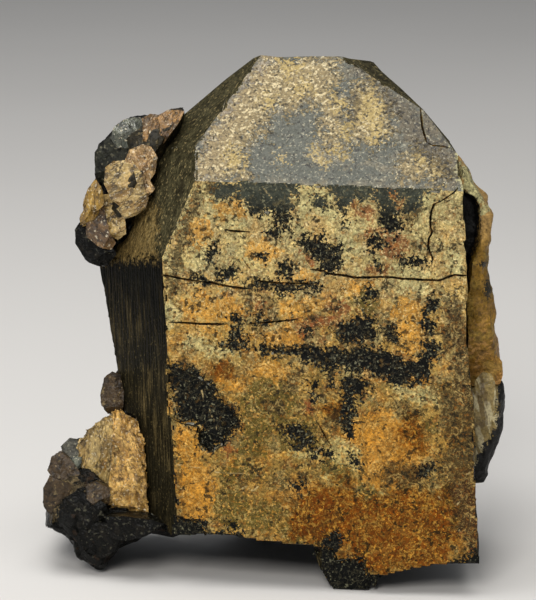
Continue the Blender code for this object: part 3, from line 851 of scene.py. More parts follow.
# Threads: thin curly lines, as the edges of thin scales of crust make.
THREADS, come, go = new_group(
    "threads", [("Place", None), ("Fineness", 1), ("Width", 0.02)], "Lines"
)
wander = sums(THREADS, "SUBTRACT", noise_of(THREADS, come["Place"], come["Fineness"], 4, 0.6), 0.5)
wander = sums(THREADS, "DIVIDE", sums(THREADS, "ABSOLUTE", wander, 0), come["Width"])
THREADS.links.new(sums(THREADS, "SUBTRACT", 1.0, wander, clamp=True), go)


def over(tree, cover, below, above, blend="MIX"):
    """One colour laid over another by its cover."""
    return add(
        tree,
        "Mix",
        [(0, cover), (6, below), (7, above)],
        data_type="RGBA",
        blend_type=blend,
    ).outputs[2]


def part_of(tree, cover, share):
    """A mask weakened to that share."""
    return sums(tree, "MULTIPLY", cover, share)


def from_to(tree, value, low, high, start=0.0, end=1.0):
    """A number stretched so that low gives start and high gives end."""
    return add(
        tree, "MapRange", [(0, value), (1, low), (2, high), (3, start), (4, end)]
    ).outputs[0]


def patch(tree, place, name, fray, fineness, blur, crumble=3.0):
    """The cover of one kind of patch, from the depth kept on the mesh."""
    depth = add(tree, "Attribute", attribute_name=name).outputs["Fac"]
    return add(
        tree,
        "Group",
        [("Place", place), ("Depth", depth), ("Fray", fray), ("Fineness", fineness),
         ("Crumble", crumble), ("Blur", blur)],
        node_tree=RAGGED,
    ).outputs[0]


def line_of(tree, name, wide):
    """A fine drawn line, from the closeness to it kept on the mesh."""
    near = add(tree, "Attribute", attribute_name=name).outputs["Fac"]
    return from_to(tree, near, 1.5 - 1.6 * wide, 1.5 - 0.6 * wide)


def specks(tree, place, fineness, rarity):
    """A mask of scattered specks: finer and rarer as the two numbers grow."""
    return add(
        tree,
        "Group",
        [("Place", place), ("Fineness", fineness), ("Rarity", rarity)],
        node_tree=GRIT,
    ).outputs[0]


def threads(tree, place, fineness, width):
    """A mask of thin branching threads."""
    return add(
        tree,
        "Group",
        [("Place", place), ("Fineness", fineness), ("Width", width)],
        node_tree=THREADS,
    ).outputs[0]


def toned(tree, place, colour, fineness, spread):
    """The colour, lighter and darker in a mottle."""
    tone = add(
        tree,
        "Group",
        [("Place", place), ("Fineness", fineness), ("Spread", spread)],
        node_tree=MOTTLE,
    ).outputs[0]
    return add(tree, "HueSaturation", [("Value", tone), ("Color", colour)]).outputs[0]


def elsewhere(tree, place, step):
    """The place moved along, so that a second noise doesn't repeat the first."""
    return add(
        tree, "VectorMath", [(0, place), (1, (step, -0.7 * step, 1.3 * step))],
        operation="ADD",
    ).outputs[0]


def drawn_out(tree, place, turn, stretch):
    """The place again, turned and drawn out, for grain that runs one way."""
    turned = add(
        tree,
        "Mapping",
        [("Vector", place), ("Rotation", [math.radians(t) for t in turn])],
    ).outputs[0]
    return add(tree, "Mapping", [("Vector", turned), ("Scale", stretch)]).outputs[0]


def relief(tree, shader, heights):
    """Bump from (height in millimetres, how strongly) pairs laid on one another."""
    total = None
    for height, depth in heights:
        scaled = part_of(tree, height, depth)
        total = scaled if total is None else sums(tree, "ADD", total, scaled)
    bump = add(tree, "Bump", [("Height", total), ("Distance", MM)])
    tree.links.new(bump.outputs[0], shader.inputs["Normal"])


# Ochre crust on black: earthy alteration in scales over the glossy mineral.
ochre_crust, tree, shader, place = new_finish("ochre_crust")
height = add(tree, "SeparateXYZ", [(0, place)]).outputs[2]
height = sums(tree, "MULTIPLY", height, 1 / 80)
ground = add(tree, "ValToRGB", [(0, height)])
ramp = ground.color_ramp
ramp.elements[0].position, ramp.elements[0].color = 0.12, srgb(132, 86, 22)
ramp.elements[1].position, ramp.elements[1].color = 0.76, srgb(210, 196, 138)
for spot, colour in (
    (0.22, (146, 100, 30)),
    (0.34, (142, 106, 44)),
    (0.45, (156, 118, 54)),
    (0.54, (214, 168, 88)),
    (0.64, (222, 196, 122)),
):
    ramp.elements.new(spot).color = srgb(*colour)
colour = ground.outputs[0]
drift = add(
    tree, "TexNoise", [("Vector", place), ("Scale", 0.30), ("Detail", 6), ("Roughness", 0.62)]
).outputs[1]
drift = add(
    tree, "VectorMath", [(0, drift), (1, (7.0, 7.0, 7.0)), (2, place)],
    operation="MULTIPLY_ADD",
).outputs[0]
scale = add(tree, "TexVoronoi", [("Vector", drift), ("Scale", 0.30)]).outputs["Color"]
scale = add(tree, "SeparateColor", [(0, scale)]).outputs[0]
shades = add(tree, "ValToRGB", [(0, scale)])
ramp = shades.color_ramp
ramp.elements[0].position, ramp.elements[0].color = 0.0, srgb(186, 138, 56)
ramp.elements[1].position, ramp.elements[1].color = 1.0, srgb(126, 86, 36)
for spot, shade in (
    (0.2, (184, 162, 98)),
    (0.4, (140, 126, 74)),
    (0.55, (196, 152, 70)),
    (0.7, (172, 158, 100)),
    (0.85, (114, 102, 54)),
):
    ramp.elements.new(spot).color = srgb(*shade)
colour = over(tree, 0.6, colour, shades.outputs[0])
rift = add(
    tree, "TexVoronoi", [("Vector", drift), ("Scale", 0.30)], feature="DISTANCE_TO_EDGE"
).outputs[0]
edges = from_to(tree, rift, 0.05, 0.0)
for step, fineness, low, high, shade, share in (
    (0, 0.20, 0.52, 0.58, (178, 126, 52), 0.60),
    (31, 0.26, 0.53, 0.58, (116, 114, 84), 0.62),
    (83, 0.60, 0.56, 0.60, (122, 74, 34), 0.65),
):
    cloud = noise_of(tree, elsewhere(tree, place, step), fineness, 6, 0.62)
    cloud = from_to(tree, cloud, low, high, 0.0, share)
    colour = over(tree, cloud, colour, srgb(*shade))
thin = from_to(tree, noise_of(tree, elsewhere(tree, place, 91), 0.33, 6, 0.68), 0.535, 0.57, 0, 0.6)
bared = over(tree, from_to(tree, height, 0.3, 0.6), srgb(62, 54, 32), srgb(98, 88, 58))
colour = over(tree, thin, colour, bared)
colour = over(tree, from_to(tree, height, 0.54, 0.64, 0, 0.26), colour, srgb(216, 204, 150))
cover_of = {}
for name, shade, share, fray, fineness, blur in (
    ("gold", (208, 148, 56), 0.68, 6, 0.5, 0.4),
    ("pale", (184, 176, 124), 0.80, 6, 0.7, 0.5),
    ("olive", (92, 82, 38), 0.93, 6, 0.45, 0.7),
    ("rust", (106, 54, 4), 0.85, 9, 0.4, 1.6),
    ("red", (124, 66, 36), 0.85, 5, 0.7, 0.5),
    ("stain", (50, 40, 26), 0.85, 6, 0.8, 0.8),
):
    cover_of[name] = patch(tree, place, name, fray, fineness, blur)
    colour = over(tree, part_of(tree, cover_of[name], share), colour, srgb(*shade))
scales = threads(tree, elsewhere(tree, place, 11), 1.0, 0.028)
colour = over(tree, part_of(tree, scales, 0.4), colour, srgb(214, 186, 118))
colour = over(tree, part_of(tree, edges, 0.6), colour, srgb(74, 62, 38))
lips = from_to(tree, rift, 0.17, 0.11)
lips = sums(tree, "SUBTRACT", lips, from_to(tree, rift, 0.10, 0.04), clamp=True)
worn_lips = from_to(tree, noise_of(tree, elsewhere(tree, place, 57), 0.6, 3), 0.46, 0.56, 0, 0.45)
colour = over(tree, sums(tree, "MULTIPLY", lips, worn_lips), colour, srgb(220, 194, 128))
gaps = threads(tree, elsewhere(tree, place, 47), 0.6, 0.016)
colour = over(tree, part_of(tree, gaps, 0.6), colour, srgb(62, 50, 32))
upper = from_to(tree, height, 0.35, 0.6)
sparkle_share = from_to(tree, cover_of["stain"], 0, 1, 0.6, 0.15)
crowd = from_to(tree, noise_of(tree, elsewhere(tree, place, 71), 0.16, 3), 0.40, 0.62, 0.645, 0.555)
pits = specks(tree, place, 1.15, crowd)
colour = over(tree, part_of(tree, pits, 0.85), colour, srgb(38, 35, 25))
colour = over(
    tree, part_of(tree, specks(tree, place, 2.0, 0.58), 0.3), colour, srgb(176, 116, 44)
)
# Painted sparkle: pale specks of colour standing in for small highlights, warmer low down and fewer
# on the stains.
colour = over(
    tree,
    sums(tree, "MULTIPLY", specks(tree, elsewhere(tree, place, 5), 2.4, 0.60), sparkle_share),
    colour,
    over(tree, upper, srgb(218, 172, 92), srgb(226, 206, 150)),
)
colour = over(
    tree,
    part_of(tree, specks(tree, elsewhere(tree, place, 9), 2.0, 0.59), 0.4),
    colour,
    srgb(56, 44, 24),
)
iron = from_to(tree, height, 0.5, 0.3, 0, 0.35)
iron = sums(tree, "MULTIPLY_ADD", cover_of["rust"], 0.6, iron)
colour = over(tree, iron, colour, srgb(244, 222, 150), "MULTIPLY")
colour = toned(tree, place, colour, 0.7, 1.3)
colour = toned(tree, place, colour, 2.6, 2.2)
worn_through = patch(tree, place, "bare", 4.4, 0.75, 0.12, 5.0)
left_on = specks(tree, elsewhere(tree, place, 23), 1.3, 0.59)
left_on = sums(tree, "MULTIPLY", left_on, from_to(tree, height, 0.13, 0.19, 0, 0.14))
worn_through = sums(tree, "SUBTRACT", worn_through, left_on, clamp=True)
black = toned(tree, place, srgb(5, 6, 4), 1.2, 2.0)
# Just under the ridge the bare black is painted grey: a painted sheen.
ridge_sheen = from_to(tree, height, 0.722, 0.758, 0.0, 0.75)
black = over(tree, ridge_sheen, black, toned(tree, place, srgb(66, 70, 60), 0.8, 2.0))
black = over(
    tree, part_of(tree, specks(tree, place, 2.4, 0.62), 0.6), black, srgb(136, 134, 106)
)
black = over(tree, part_of(tree, threads(tree, place, 0.9, 0.018), 0.35), black, srgb(126, 120, 92))
colour = over(tree, worn_through, colour, black)
# A painted highlight along the broken rims of the crust.
rim = line_of(tree, "rim", 0.11)
rim = sums(tree, "MULTIPLY", rim, from_to(tree, noise_of(tree, place, 0.8, 3), 0.42, 0.55))
colour = over(tree, part_of(tree, rim, 0.7), colour, srgb(214, 190, 134))
tree.links.new(colour, shader.inputs["Base Color"])
tree.links.new(from_to(tree, worn_through, 0, 1, 0.8, 0.36), shader.inputs["Roughness"])
shader.inputs["Specular IOR Level"].default_value = 0.12
relief(
    tree,
    shader,
    [(worn_through, -0.14), (noise_of(tree, place, 2.4, 5), 0.30), (pits, -0.08),
     (scales, 0.06), (rim, 0.08)],
)

# Top face: the same black, etched to a soft grey sheen, with crumbs of crust left on it.
grey_sheen, tree, shader, place = new_finish("grey_sheen")
colour = toned(tree, place, srgb(84, 86, 76), 0.35, 0.6)
smooth = patch(tree, place, "sheen", 5, 0.7, 0.8, 3)
wash = from_to(tree, noise_of(tree, place, 0.5, 6, 0.65), 0.42, 0.62, 0.0, 0.75)
wash = sums(tree, "SUBTRACT", wash, smooth, clamp=True)
colour = over(tree, wash, colour, srgb(128, 118, 94))
pink = patch(tree, place, "pink", 6, 0.5, 2.0, 3)
colour = over(tree, part_of(tree, pink, 0.55), colour, srgb(166, 150, 128))
crumbs = patch(tree, place, "beige", 9, 0.7, 0.8, 9)
colour = over(tree, part_of(tree, crumbs, 0.8), colour, srgb(150, 132, 94))
bright = patch(tree, place, "beige", 6, 1.1, 0.4, 12)
bright = sums(tree, "MULTIPLY", bright, specks(tree, place, 1.3, 0.55))
colour = over(tree, part_of(tree, bright, 0.8), colour, srgb(206, 190, 150))
yellow = patch(tree, place, "yellow", 6, 0.7, 0.5, 7)
colour = over(tree, part_of(tree, yellow, 0.8), colour, srgb(174, 152, 96))
colour = over(tree, patch(tree, place, "coat", 4, 0.9, 0.3), colour, srgb(170, 164, 118))
murk = patch(tree, place, "murk", 7, 0.5, 1.5, 5)
colour = over(tree, part_of(tree, murk, 0.68), colour, srgb(78, 67, 46))
rare = from_to(tree, murk, 0, 1, 0.61, 0.545)
colour = over(tree, part_of(tree, specks(tree, place, 1.5, rare), 0.8), colour, srgb(34, 32, 26))
colour = over(
    tree,
    part_of(tree, specks(tree, elsewhere(tree, place, 5), 2.4, 0.60), 0.35),
    colour,
    srgb(210, 202, 172),
)
colour = over(
    tree,
    part_of(tree, specks(tree, elsewhere(tree, place, 9), 2.0, 0.59), 0.5),
    colour,
    srgb(60, 54, 42),
)
colour = toned(tree, place, colour, 2.6, 2.0)
tree.links.new(colour, shader.inputs["Base Color"])
tree.links.new(from_to(tree, crumbs, 0, 1, 0.46, 0.8), shader.inputs["Roughness"])
relief(tree, shader, [(noise_of(tree, place, 2.4, 5), 0.26), (crumbs, 0.10)])

# Side faces: black with brown films, drawn along the length of the prism.
streaked_side, tree, shader, place = new_finish("streaked_side", Roughness=0.45)
along = drawn_out(tree, place, (0, 5.5, 0), (1.0, 1.0, 0.07))
height = add(tree, "SeparateXYZ", [(0, place)]).outputs[2]
lower = from_to(tree, height, 47, 34, 0.06, 1.0)
thread = from_to(tree, noise_of(tree, along, 1.3, 4, 0.6), 0.47, 0.72)
patchy = from_to(tree, noise_of(tree, place, 0.16, 3), 0.36, 0.58)
thread = sums(tree, "MULTIPLY", sums(tree, "MULTIPLY", thread, patchy), lower)
shoulder = from_to(tree, height, 50.0, 52.5)
under = over(tree, from_to(tree, height, 44, 28), srgb(9, 9, 6), srgb(34, 31, 21))
under = over(tree, shoulder, under, toned(tree, place, srgb(62, 58, 40), 0.4, 2.6))
colour = over(tree, thread, under, srgb(88, 76, 48))
tan = part_of(tree, patch(tree, place, "tan", 6, 0.8, 0.9, 5), 0.75)
ochre = toned(tree, along, srgb(116, 97, 58), 1.6, 2.4)
colour = over(tree, tan, colour, ochre)
colour = toned(tree, along, colour, 2.6, 3.0)
smears = sums(tree, "MULTIPLY", specks(tree, elsewhere(tree, place, 13), 0.45, 0.57), shoulder)
colour = over(tree, part_of(tree, smears, 0.6), colour, srgb(36, 33, 24))
crumbs = sums(tree, "MULTIPLY", specks(tree, elsewhere(tree, place, 29), 1.8, 0.61), shoulder)
colour = over(tree, part_of(tree, crumbs, 0.7), colour, srgb(146, 130, 90))
scuffs = sums(tree, "MULTIPLY", specks(tree, place, 2.4, 0.63), lower)
colour = over(tree, part_of(tree, scuffs, 0.5), colour, srgb(112, 98, 62))
colour = toned(tree, place, colour, 2.8, 3.0)
tree.links.new(colour, shader.inputs["Base Color"])
shader.inputs["Specular IOR Level"].default_value = 0.015
relief(
    tree,
    shader,
    [(noise_of(tree, along, 1.8, 4), 0.40), (noise_of(tree, place, 2.2, 4), 0.16)],
)

# Snapped faces and the joined matrix: pitch black and shelly, with earthy brown lumps.
shelly_black, tree, shader, place = new_finish("shelly_black")
colour = toned(tree, place, srgb(12, 12, 10), 0.5, 2.0)
colour = over(tree, part_of(tree, specks(tree, place, 0.6, 0.60), 0.6), colour, srgb(50, 36, 24))
earthy = patch(tree, place, "lump", 5, 0.6, 0.6, 5)
brown = toned(tree, place, srgb(84, 72, 50), 0.7, 2.4)
brown = over(tree, part_of(tree, specks(tree, place, 1.1, 0.54), 0.8), brown, srgb(34, 28, 20))
crumbs = specks(tree, elsewhere(tree, place, 5), 1.9, 0.59)
brown = over(tree, part_of(tree, crumbs, 0.6), brown, srgb(140, 124, 88))
colour = over(tree, earthy, colour, brown)
colour = toned(tree, place, colour, 2.6, 3.0)
tree.links.new(colour, shader.inputs["Base Color"])
tree.links.new(from_to(tree, earthy, 0, 1, 0.24, 0.6), shader.inputs["Roughness"])
shader.inputs["Specular IOR Level"].default_value = 0.12
shell = noise_of(tree, drawn_out(tree, place, (0, 35, 20), (1, 1, 0.25)), 0.8, 5, 0.6)
relief(tree, shader, [(shell, 0.9), (noise_of(tree, place, 2.0, 4), 0.22)])

# In the cracks: plain darkness.
crack_dark, tree, shader, place = new_finish("crack_dark", Roughness=0.9)
tree.links.new(toned(tree, place, srgb(12, 11, 9), 2.0, 1.0), shader.inputs["Base Color"])
shader.inputs["Specular IOR Level"].default_value = 0.1

# The cracks are cut out with thin wedges, on planes set to a tenth of a millimetre.
wedges = []
for number, line in enumerate(CRACKS):
    wedges.append(
        groove(f"crack_{number}", line, FRONT_SPOT.round(1), FRONT_WAY, 0.17, 0.9, crack_dark)
    )
for number, line in enumerate(SHOULDER_CRACK):
    wedges.append(
        groove(f"chip_{number}", line, TOP_SPOT.round(1), TOP_WAY, 0.2, 1.2, crack_dark)
    )
bpy.ops.object.select_all(action="DESELECT")
for wedge in wedges:
    wedge.select_set(True)
bpy.context.view_layer.objects.active = wedges[0]
bpy.ops.object.join()
cutter = bpy.context.object

# Each face of the crystal gets its own finish.
for finish in (ochre_crust, grey_sheen, streaked_side, shelly_black):
    crystal.data.materials.append(finish)
count = len(crystal.data.polygons)
face_ways = np.empty(count * 3, np.float32)
crystal.data.polygons.foreach_get("normal", face_ways)
face_spots = np.empty(count * 3, np.float32)
crystal.data.polygons.foreach_get("center", face_spots)
face_ways, face_spots = face_ways.reshape(-1, 3), face_spots.reshape(-1, 3) / MM
chosen = np.full(count, BREAK)
for (_, _, finish, closeness), way in reversed(list(zip(FACES, FACE_WAYS))):
    chosen[face_ways @ way > closeness] = finish
nearest = np.argmax(face_ways @ FACE_WAYS.T, 1)
nearest = np.array([finish for _, _, finish, _ in FACES])[nearest]
chosen = np.where(face_spots[:, 2] > 26, nearest, chosen)
low_left = (face_spots[:, 0] < -17.5 - 0.16 * face_spots[:, 2]) & (face_spots[:, 2] < 24)
chosen[low_left] = BREAK
foot = (face_spots[:, 2] < 9) & (face_spots[:, 1] > -12) & (face_ways[:, 1] < 0.3)
chosen[foot] = BREAK
crystal.data.polygons.foreach_set("material_index", chosen.astype(np.int32))
work(
    crystal,
    "BOOLEAN",
    object=cutter,
    operation="DIFFERENCE",
    solver="MANIFOLD",
)
bpy.data.objects.remove(cutter)
alone(crystal)
bpy.ops.object.shade_smooth_by_angle(angle=math.radians(28))
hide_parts("gadolinite_crystal")
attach(crystal, "root")


# Lower left: a big golden feldspar, split along its cleavage, with small grey and brown
# lumps beside it. They grew against the side of the crystal and are broken off outside.
def dressed(node, name, cell):
    """A solid's copy, meshed evenly and finely enough to take the grain of the rock."""
    piece = copy_of(node, name)
    work(piece, "REMESH", mode="VOXEL", voxel_size=cell * MM)
    return piece


def pressed_in(piece, name, size, depth, where=None, sharp=False):
    """Pushes the surface inwards by a cloudy pattern, so that it never stands proud."""
    texture = bpy.data.textures.new(name, "CLOUDS")
    texture.noise_scale = size * MM
    texture.noise_depth = 4
    texture.noise_basis = "VORONOI_F1" if sharp else "BLENDER_ORIGINAL"
    if where is not None:
        weigh(piece, name, where)
    work(
        piece,
        "DISPLACE",
        texture=texture,
        texture_coords="LOCAL",
        strength=-depth * MM,
        mid_level=0,
        vertex_group=name if where is not None else "",
    )


def stepped(piece, way, pitch, depth, wobble, seed):
    """Cleavage steps: the surface falls back a little at each split across the piece."""
    corners, _ = points_of(piece)
    along = corners @ (np.array(way) / np.linalg.norm(way))
    along = along / pitch + wobble * roll(corners, 5, seed, 3)
    weigh(piece, "steps", np.clip(np.abs((along % 1) - 0.15), 0, 1))
    work(piece, "DISPLACE", strength=-depth * MM, mid_level=0, vertex_group="steps")


def finished(piece, finish, sharp=32):
    """Finish, smoothing and its place on the specimen."""
    piece.data.materials.clear()
    piece.data.materials.append(finish)
    alone(piece)
    bpy.ops.object.shade_smooth_by_angle(angle=math.radians(sharp))
    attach(piece, "root")


def grown(outline, front, growth):
    """A grain's outline at its front, enlarged about its middle: splitting makes it smaller."""
    corners = np.array(outline, float)
    heart = corners.mean(0)
    return upright([heart + (corners - heart) * growth], front)[0]


def shard(name, outline, front, way, thick, chips, seed):
    """A broken grain: it widens forward out of the rock and is split off at the front."""
    out = facing_way(*way)
    spots = np.array(outline)
    heart = spots.mean(0)
    narrow = 0.7
    corners = []
    for spread, back in ((narrow, thick), (1, 0)):
        for right, up in spots - heart:
            slant = narrow * (out[0] * right + out[2] * up) / out[1]
            x, z = heart + spread * np.array([right, up])
            corners.append(Vector((x, front - slant + back, z)) * MM)
    count = len(spots)
    faces = [range(count), range(count, 2 * count)]
    for here in range(count):
        there = (here + 1) % count
        faces.append((here, there, there + count, here + count))
    mesh = bpy.data.meshes.new(name)
    mesh.from_pydata(corners, [], [list(face) for face in faces])
    piece = bpy.data.objects.new(name, mesh)
    bpy.context.collection.objects.link(piece)
    alone(piece)
    bpy.ops.object.mode_set(mode="EDIT")
    bpy.ops.mesh.select_all(action="SELECT")
    bpy.ops.mesh.normals_make_consistent(inside=False)
    for cut in range(5):
        turn = seed * 1.7 + cut * 1.257
        steep = 0.6 + 0.35 * math.sin(seed * 3.1 + cut * 2.3)
        side = Vector((math.cos(turn), 0, math.sin(turn)))
        reach = ((spots - heart) @ [side.x, side.z]).max()
        bpy.ops.mesh.select_all(action="SELECT")
        bpy.ops.mesh.bisect(
            plane_co=Vector((heart[0], front, heart[1])) * MM + side * reach * 0.74 * MM,
            plane_no=(side * steep + Vector(out)).normalized(),
            use_fill=True,
            clear_outer=True,
        )
    bpy.ops.object.mode_set(mode="OBJECT")
    work(piece, "REMESH", mode="SHARP", octree_depth=6, scale=0.95, sharpness=1.0)
    pressed_in(piece, name + "_chips", 1.3, chips)
    return piece


def mineral(name, pale, deep, dirt, turn, gloss, drawn=0.5, dirty=0.57, deepness=0.10):
    """A grain's finish: pale and deep along its cleavage, dirt in splits, small painted glints."""
    finish, tree, shader, place = new_finish(name, Roughness=gloss)
    along = drawn_out(tree, place, turn, (1.0, 1.0, drawn))
    band = from_to(tree, noise_of(tree, along, 0.9, 5), 0.38, 0.62)
    colour = over(tree, band, srgb(*deep), srgb(*pale))
    colour = toned(tree, elsewhere(tree, place, 3), colour, 0.4, 2.2)
    splits = threads(tree, along, 0.5, 0.024)
    colour = over(tree, part_of(tree, splits, 0.85), colour, srgb(*dirt))
    colour = over(
        tree, part_of(tree, specks(tree, place, 0.8, dirty), 0.7), colour, srgb(*dirt)
    )
    # Painted glints: pale specks of colour standing in for small highlights on the grain.
    painted_glints = specks(tree, elsewhere(tree, place, 7), 2.2, 0.62)
    colour = over(tree, part_of(tree, painted_glints, 0.5), colour, srgb(228, 216, 186))
    colour = toned(tree, place, colour, 2.6, 2.2)
    tree.links.new(colour, shader.inputs["Base Color"])
    relief(
        tree,
        shader,
        [(band, deepness), (noise_of(tree, along, 2.6, 4), 2.2 * deepness),
         (splits, -0.6 * deepness)],
    )
    return finish


def rubble(name, base, dirt, light, gloss, level):
    """Dark rock: lumpy base colour with dirt, light crumbs and a small-scale shell break."""
    finish, tree, shader, place = new_finish(name, Roughness=gloss)
    colour = toned(tree, place, srgb(*base), 0.6, 2.0)
    colour = over(tree, part_of(tree, specks(tree, place, 0.9, 0.55), 0.7), colour, srgb(*dirt))
    crumbs = specks(tree, elsewhere(tree, place, 5), 1.7, 0.62)
    colour = over(tree, part_of(tree, crumbs, 0.55), colour, srgb(*light))
    colour = toned(tree, place, colour, 2.6, 2.6)
    tree.links.new(colour, shader.inputs["Base Color"])
    shader.inputs["Specular IOR Level"].default_value = level
    shell = noise_of(tree, drawn_out(tree, place, (0, 30, 0), (1, 1, 0.35)), 0.9, 4)
    relief(tree, shader, [(shell, 0.5), (noise_of(tree, place, 2.2, 4), 0.22)])
    return finish


gold = mineral("golden_feldspar", (212, 172, 98), (156, 118, 58), (84, 60, 30), (0, 35, 0), 0.42)
streaked = mineral(
    "streaked_feldspar", (196, 170, 110), (140, 114, 64), (74, 58, 34), (0, -6, 0), 0.36, 0.1
)
clear = mineral(
    "clear_quartz", (110, 112, 98), (64, 68, 60), (36, 38, 34), (0, 20, 0), 0.14, 0.5, 0.60, 0.06
)
red = mineral("reddish_feldspar", (116, 88, 52), (76, 56, 34), (40, 30, 20), (0, 50, 0), 0.4)
greyrock = rubble("grey_rock", (70, 68, 58), (34, 32, 28), (128, 124, 106), 0.4, 0.3)
brownrock = rubble("brown_rock", (64, 50, 32), (26, 21, 15), (136, 118, 80), 0.36, 0.3)
black_rock = rubble("black_rock", (9, 9, 7), (24, 21, 16), (84, 82, 68), 0.26, 0.12)
lower_feldspar = dressed("lower_feldspar", "lower_feldspar_cleaved", 0.26)
stepped(lower_feldspar, (1, 0.25, -0.18), 1.5, 0.55, 0.5, 11)
pressed_in(lower_feldspar, "feldspar_chips", 1.6, 0.5)
finished(lower_feldspar, gold)
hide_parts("lower_feldspar")
brown_knob = dressed("brown_knob", "brown_knob_grain", 0.22)
pressed_in(brown_knob, "knob_chips", 1.4, 0.3)
finished(brown_knob, brownrock)
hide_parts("brown_knob")

# Grains: finish, y of the front, bearing and lift of the break, thickness, outline.
KNOB_FRONT = [
    ("brown_knob_front", brownrock, 0, (-20, 14), 3, [(100, 396), (103, 380), (112, 372),
     (121, 375), (125, 392), (124, 411), (116, 419), (107, 415), (101, 405)]),
]
LOWER_GRAINS = [
    ("streaked_feldspar", streaked, -7, (-24, 8), 6, [(77, 447), (87, 432), (103, 419), (114, 414),
     (117, 440), (115, 470), (113, 492), (97, 489), (84, 481), (75, 468), (78, 456)]),
    ("blocky_feldspar", gold, -8.2, (-6, 12), 5, [(111, 415), (122, 413), (131, 425), (139, 450),
     (146, 482), (150, 519), (136, 522), (122, 522), (111, 516), (108, 492), (112, 455)]),
    ("grey_knob", greyrock, -4.6, (-30, 24), 4, [(60, 449), (66, 443), (77, 443), (84, 450),
     (82, 462), (74, 468), (65, 461)]),
    ("whitish_grain", clear, -6.6, (-10, 10), 3, [(66, 462), (73, 456), (82, 457), (81, 469),
     (72, 472)]),
    ("brown_dome", brownrock, -7.6, (-30, 26), 5, [(47, 473), (51, 460), (61, 455), (71, 461),
     (80, 471), (86, 484), (72, 489), (57, 483)]),
    ("speckled_brown_rock", brownrock, -8.6, (-25, -6), 5, [(43, 490), (48, 477), (60, 480),
     (75, 486), (70, 500), (61, 514), (50, 518), (43, 507)]),
    ("black_shard", black_rock, -10.8, (-20, 16), 5, [(62, 502), (76, 493), (92, 495), (106, 504),
     (112, 518), (98, 530), (78, 530), (64, 520)]),
    ("brown_shard", brownrock, -10.6, (14, 26), 4, [(84, 486), (96, 483), (110, 490), (110, 505),
     (98, 508), (86, 500)]),
    ("black_tip", black_rock, -11.4, (-14, -14), 5, [(78, 528), (98, 522), (122, 524), (119, 545),
     (110, 556), (99, 563), (85, 554)]),
    ("black_ledge", black_rock, -13.8, (-16, 4), 6, [(106, 519), (124, 517), (150, 519), (166, 524),
     (150, 534), (124, 542), (110, 540)]),
]
for seed, (name, finish, front, way, thick, outline) in enumerate(KNOB_FRONT + LOWER_GRAINS):
    outline = grown(outline, front, 1.05 if seed < len(KNOB_FRONT) else 1.07)
    piece = shard(name, outline, front, way, thick, 0.3, seed)
    if finish is gold or finish is streaked:
        stepped(piece, (1, 0.2, -0.15), 1.3, 0.4, 0.5, seed)
    slot_name = "dark_matrix" if finish in (greyrock, brownrock, black_rock) else "feldspar"
    finished(piece, finish)


# Upper left: the matrix the crystal grew beside, a knot of black rock packed with grains
# of feldspar and quartz, each broken along its own cleavage.
BEYOND_SHOULDER = upright([
    [(192, 104), (183, 118), (172, 134), (164, 149), (155, 160), (151, 175), (152, 190), (145, 201),
     (134, 212), (127, 217), (113, 241), (113, 270), (205, 270), (205, 104)],
], -4)
upper_matrix = dressed("upper_dark_matrix", "upper_matrix_rock", 0.26)
pressed_in(upper_matrix, "matrix_chips", 2.6, 1.0)
finished(upper_matrix, black_rock)
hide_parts("upper_dark_matrix")

# The ground mass between the grains stops where the crystal's own shoulder comes out.
feldspar_ground = dressed("upper_feldspar", "upper_feldspar_ground", 0.26)
corners, facing = points_of(feldspar_ground)
beyond = inside(corners[:, [0, 2]], BEYOND_SHOULDER)
weigh(feldspar_ground, "beyond", np.clip(beyond / 0.8 + 0.5, 0, 1))
work(feldspar_ground, "DISPLACE", direction="Y", strength=2.0 * MM, mid_level=0)
for way, push in (("Y", 6.5), ("Z", -4.0)):
    work(
        feldspar_ground, "DISPLACE", direction=way, strength=push * MM, mid_level=0,
        vertex_group="beyond",
    )
pressed_in(feldspar_ground, "ground_chips", 1.8, 0.8)
ground_rock = rubble("dark_ground", (40, 36, 25), (16, 15, 11), (112, 98, 66), 0.4, 0.2)
finished(feldspar_ground, ground_rock)
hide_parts("upper_feldspar")

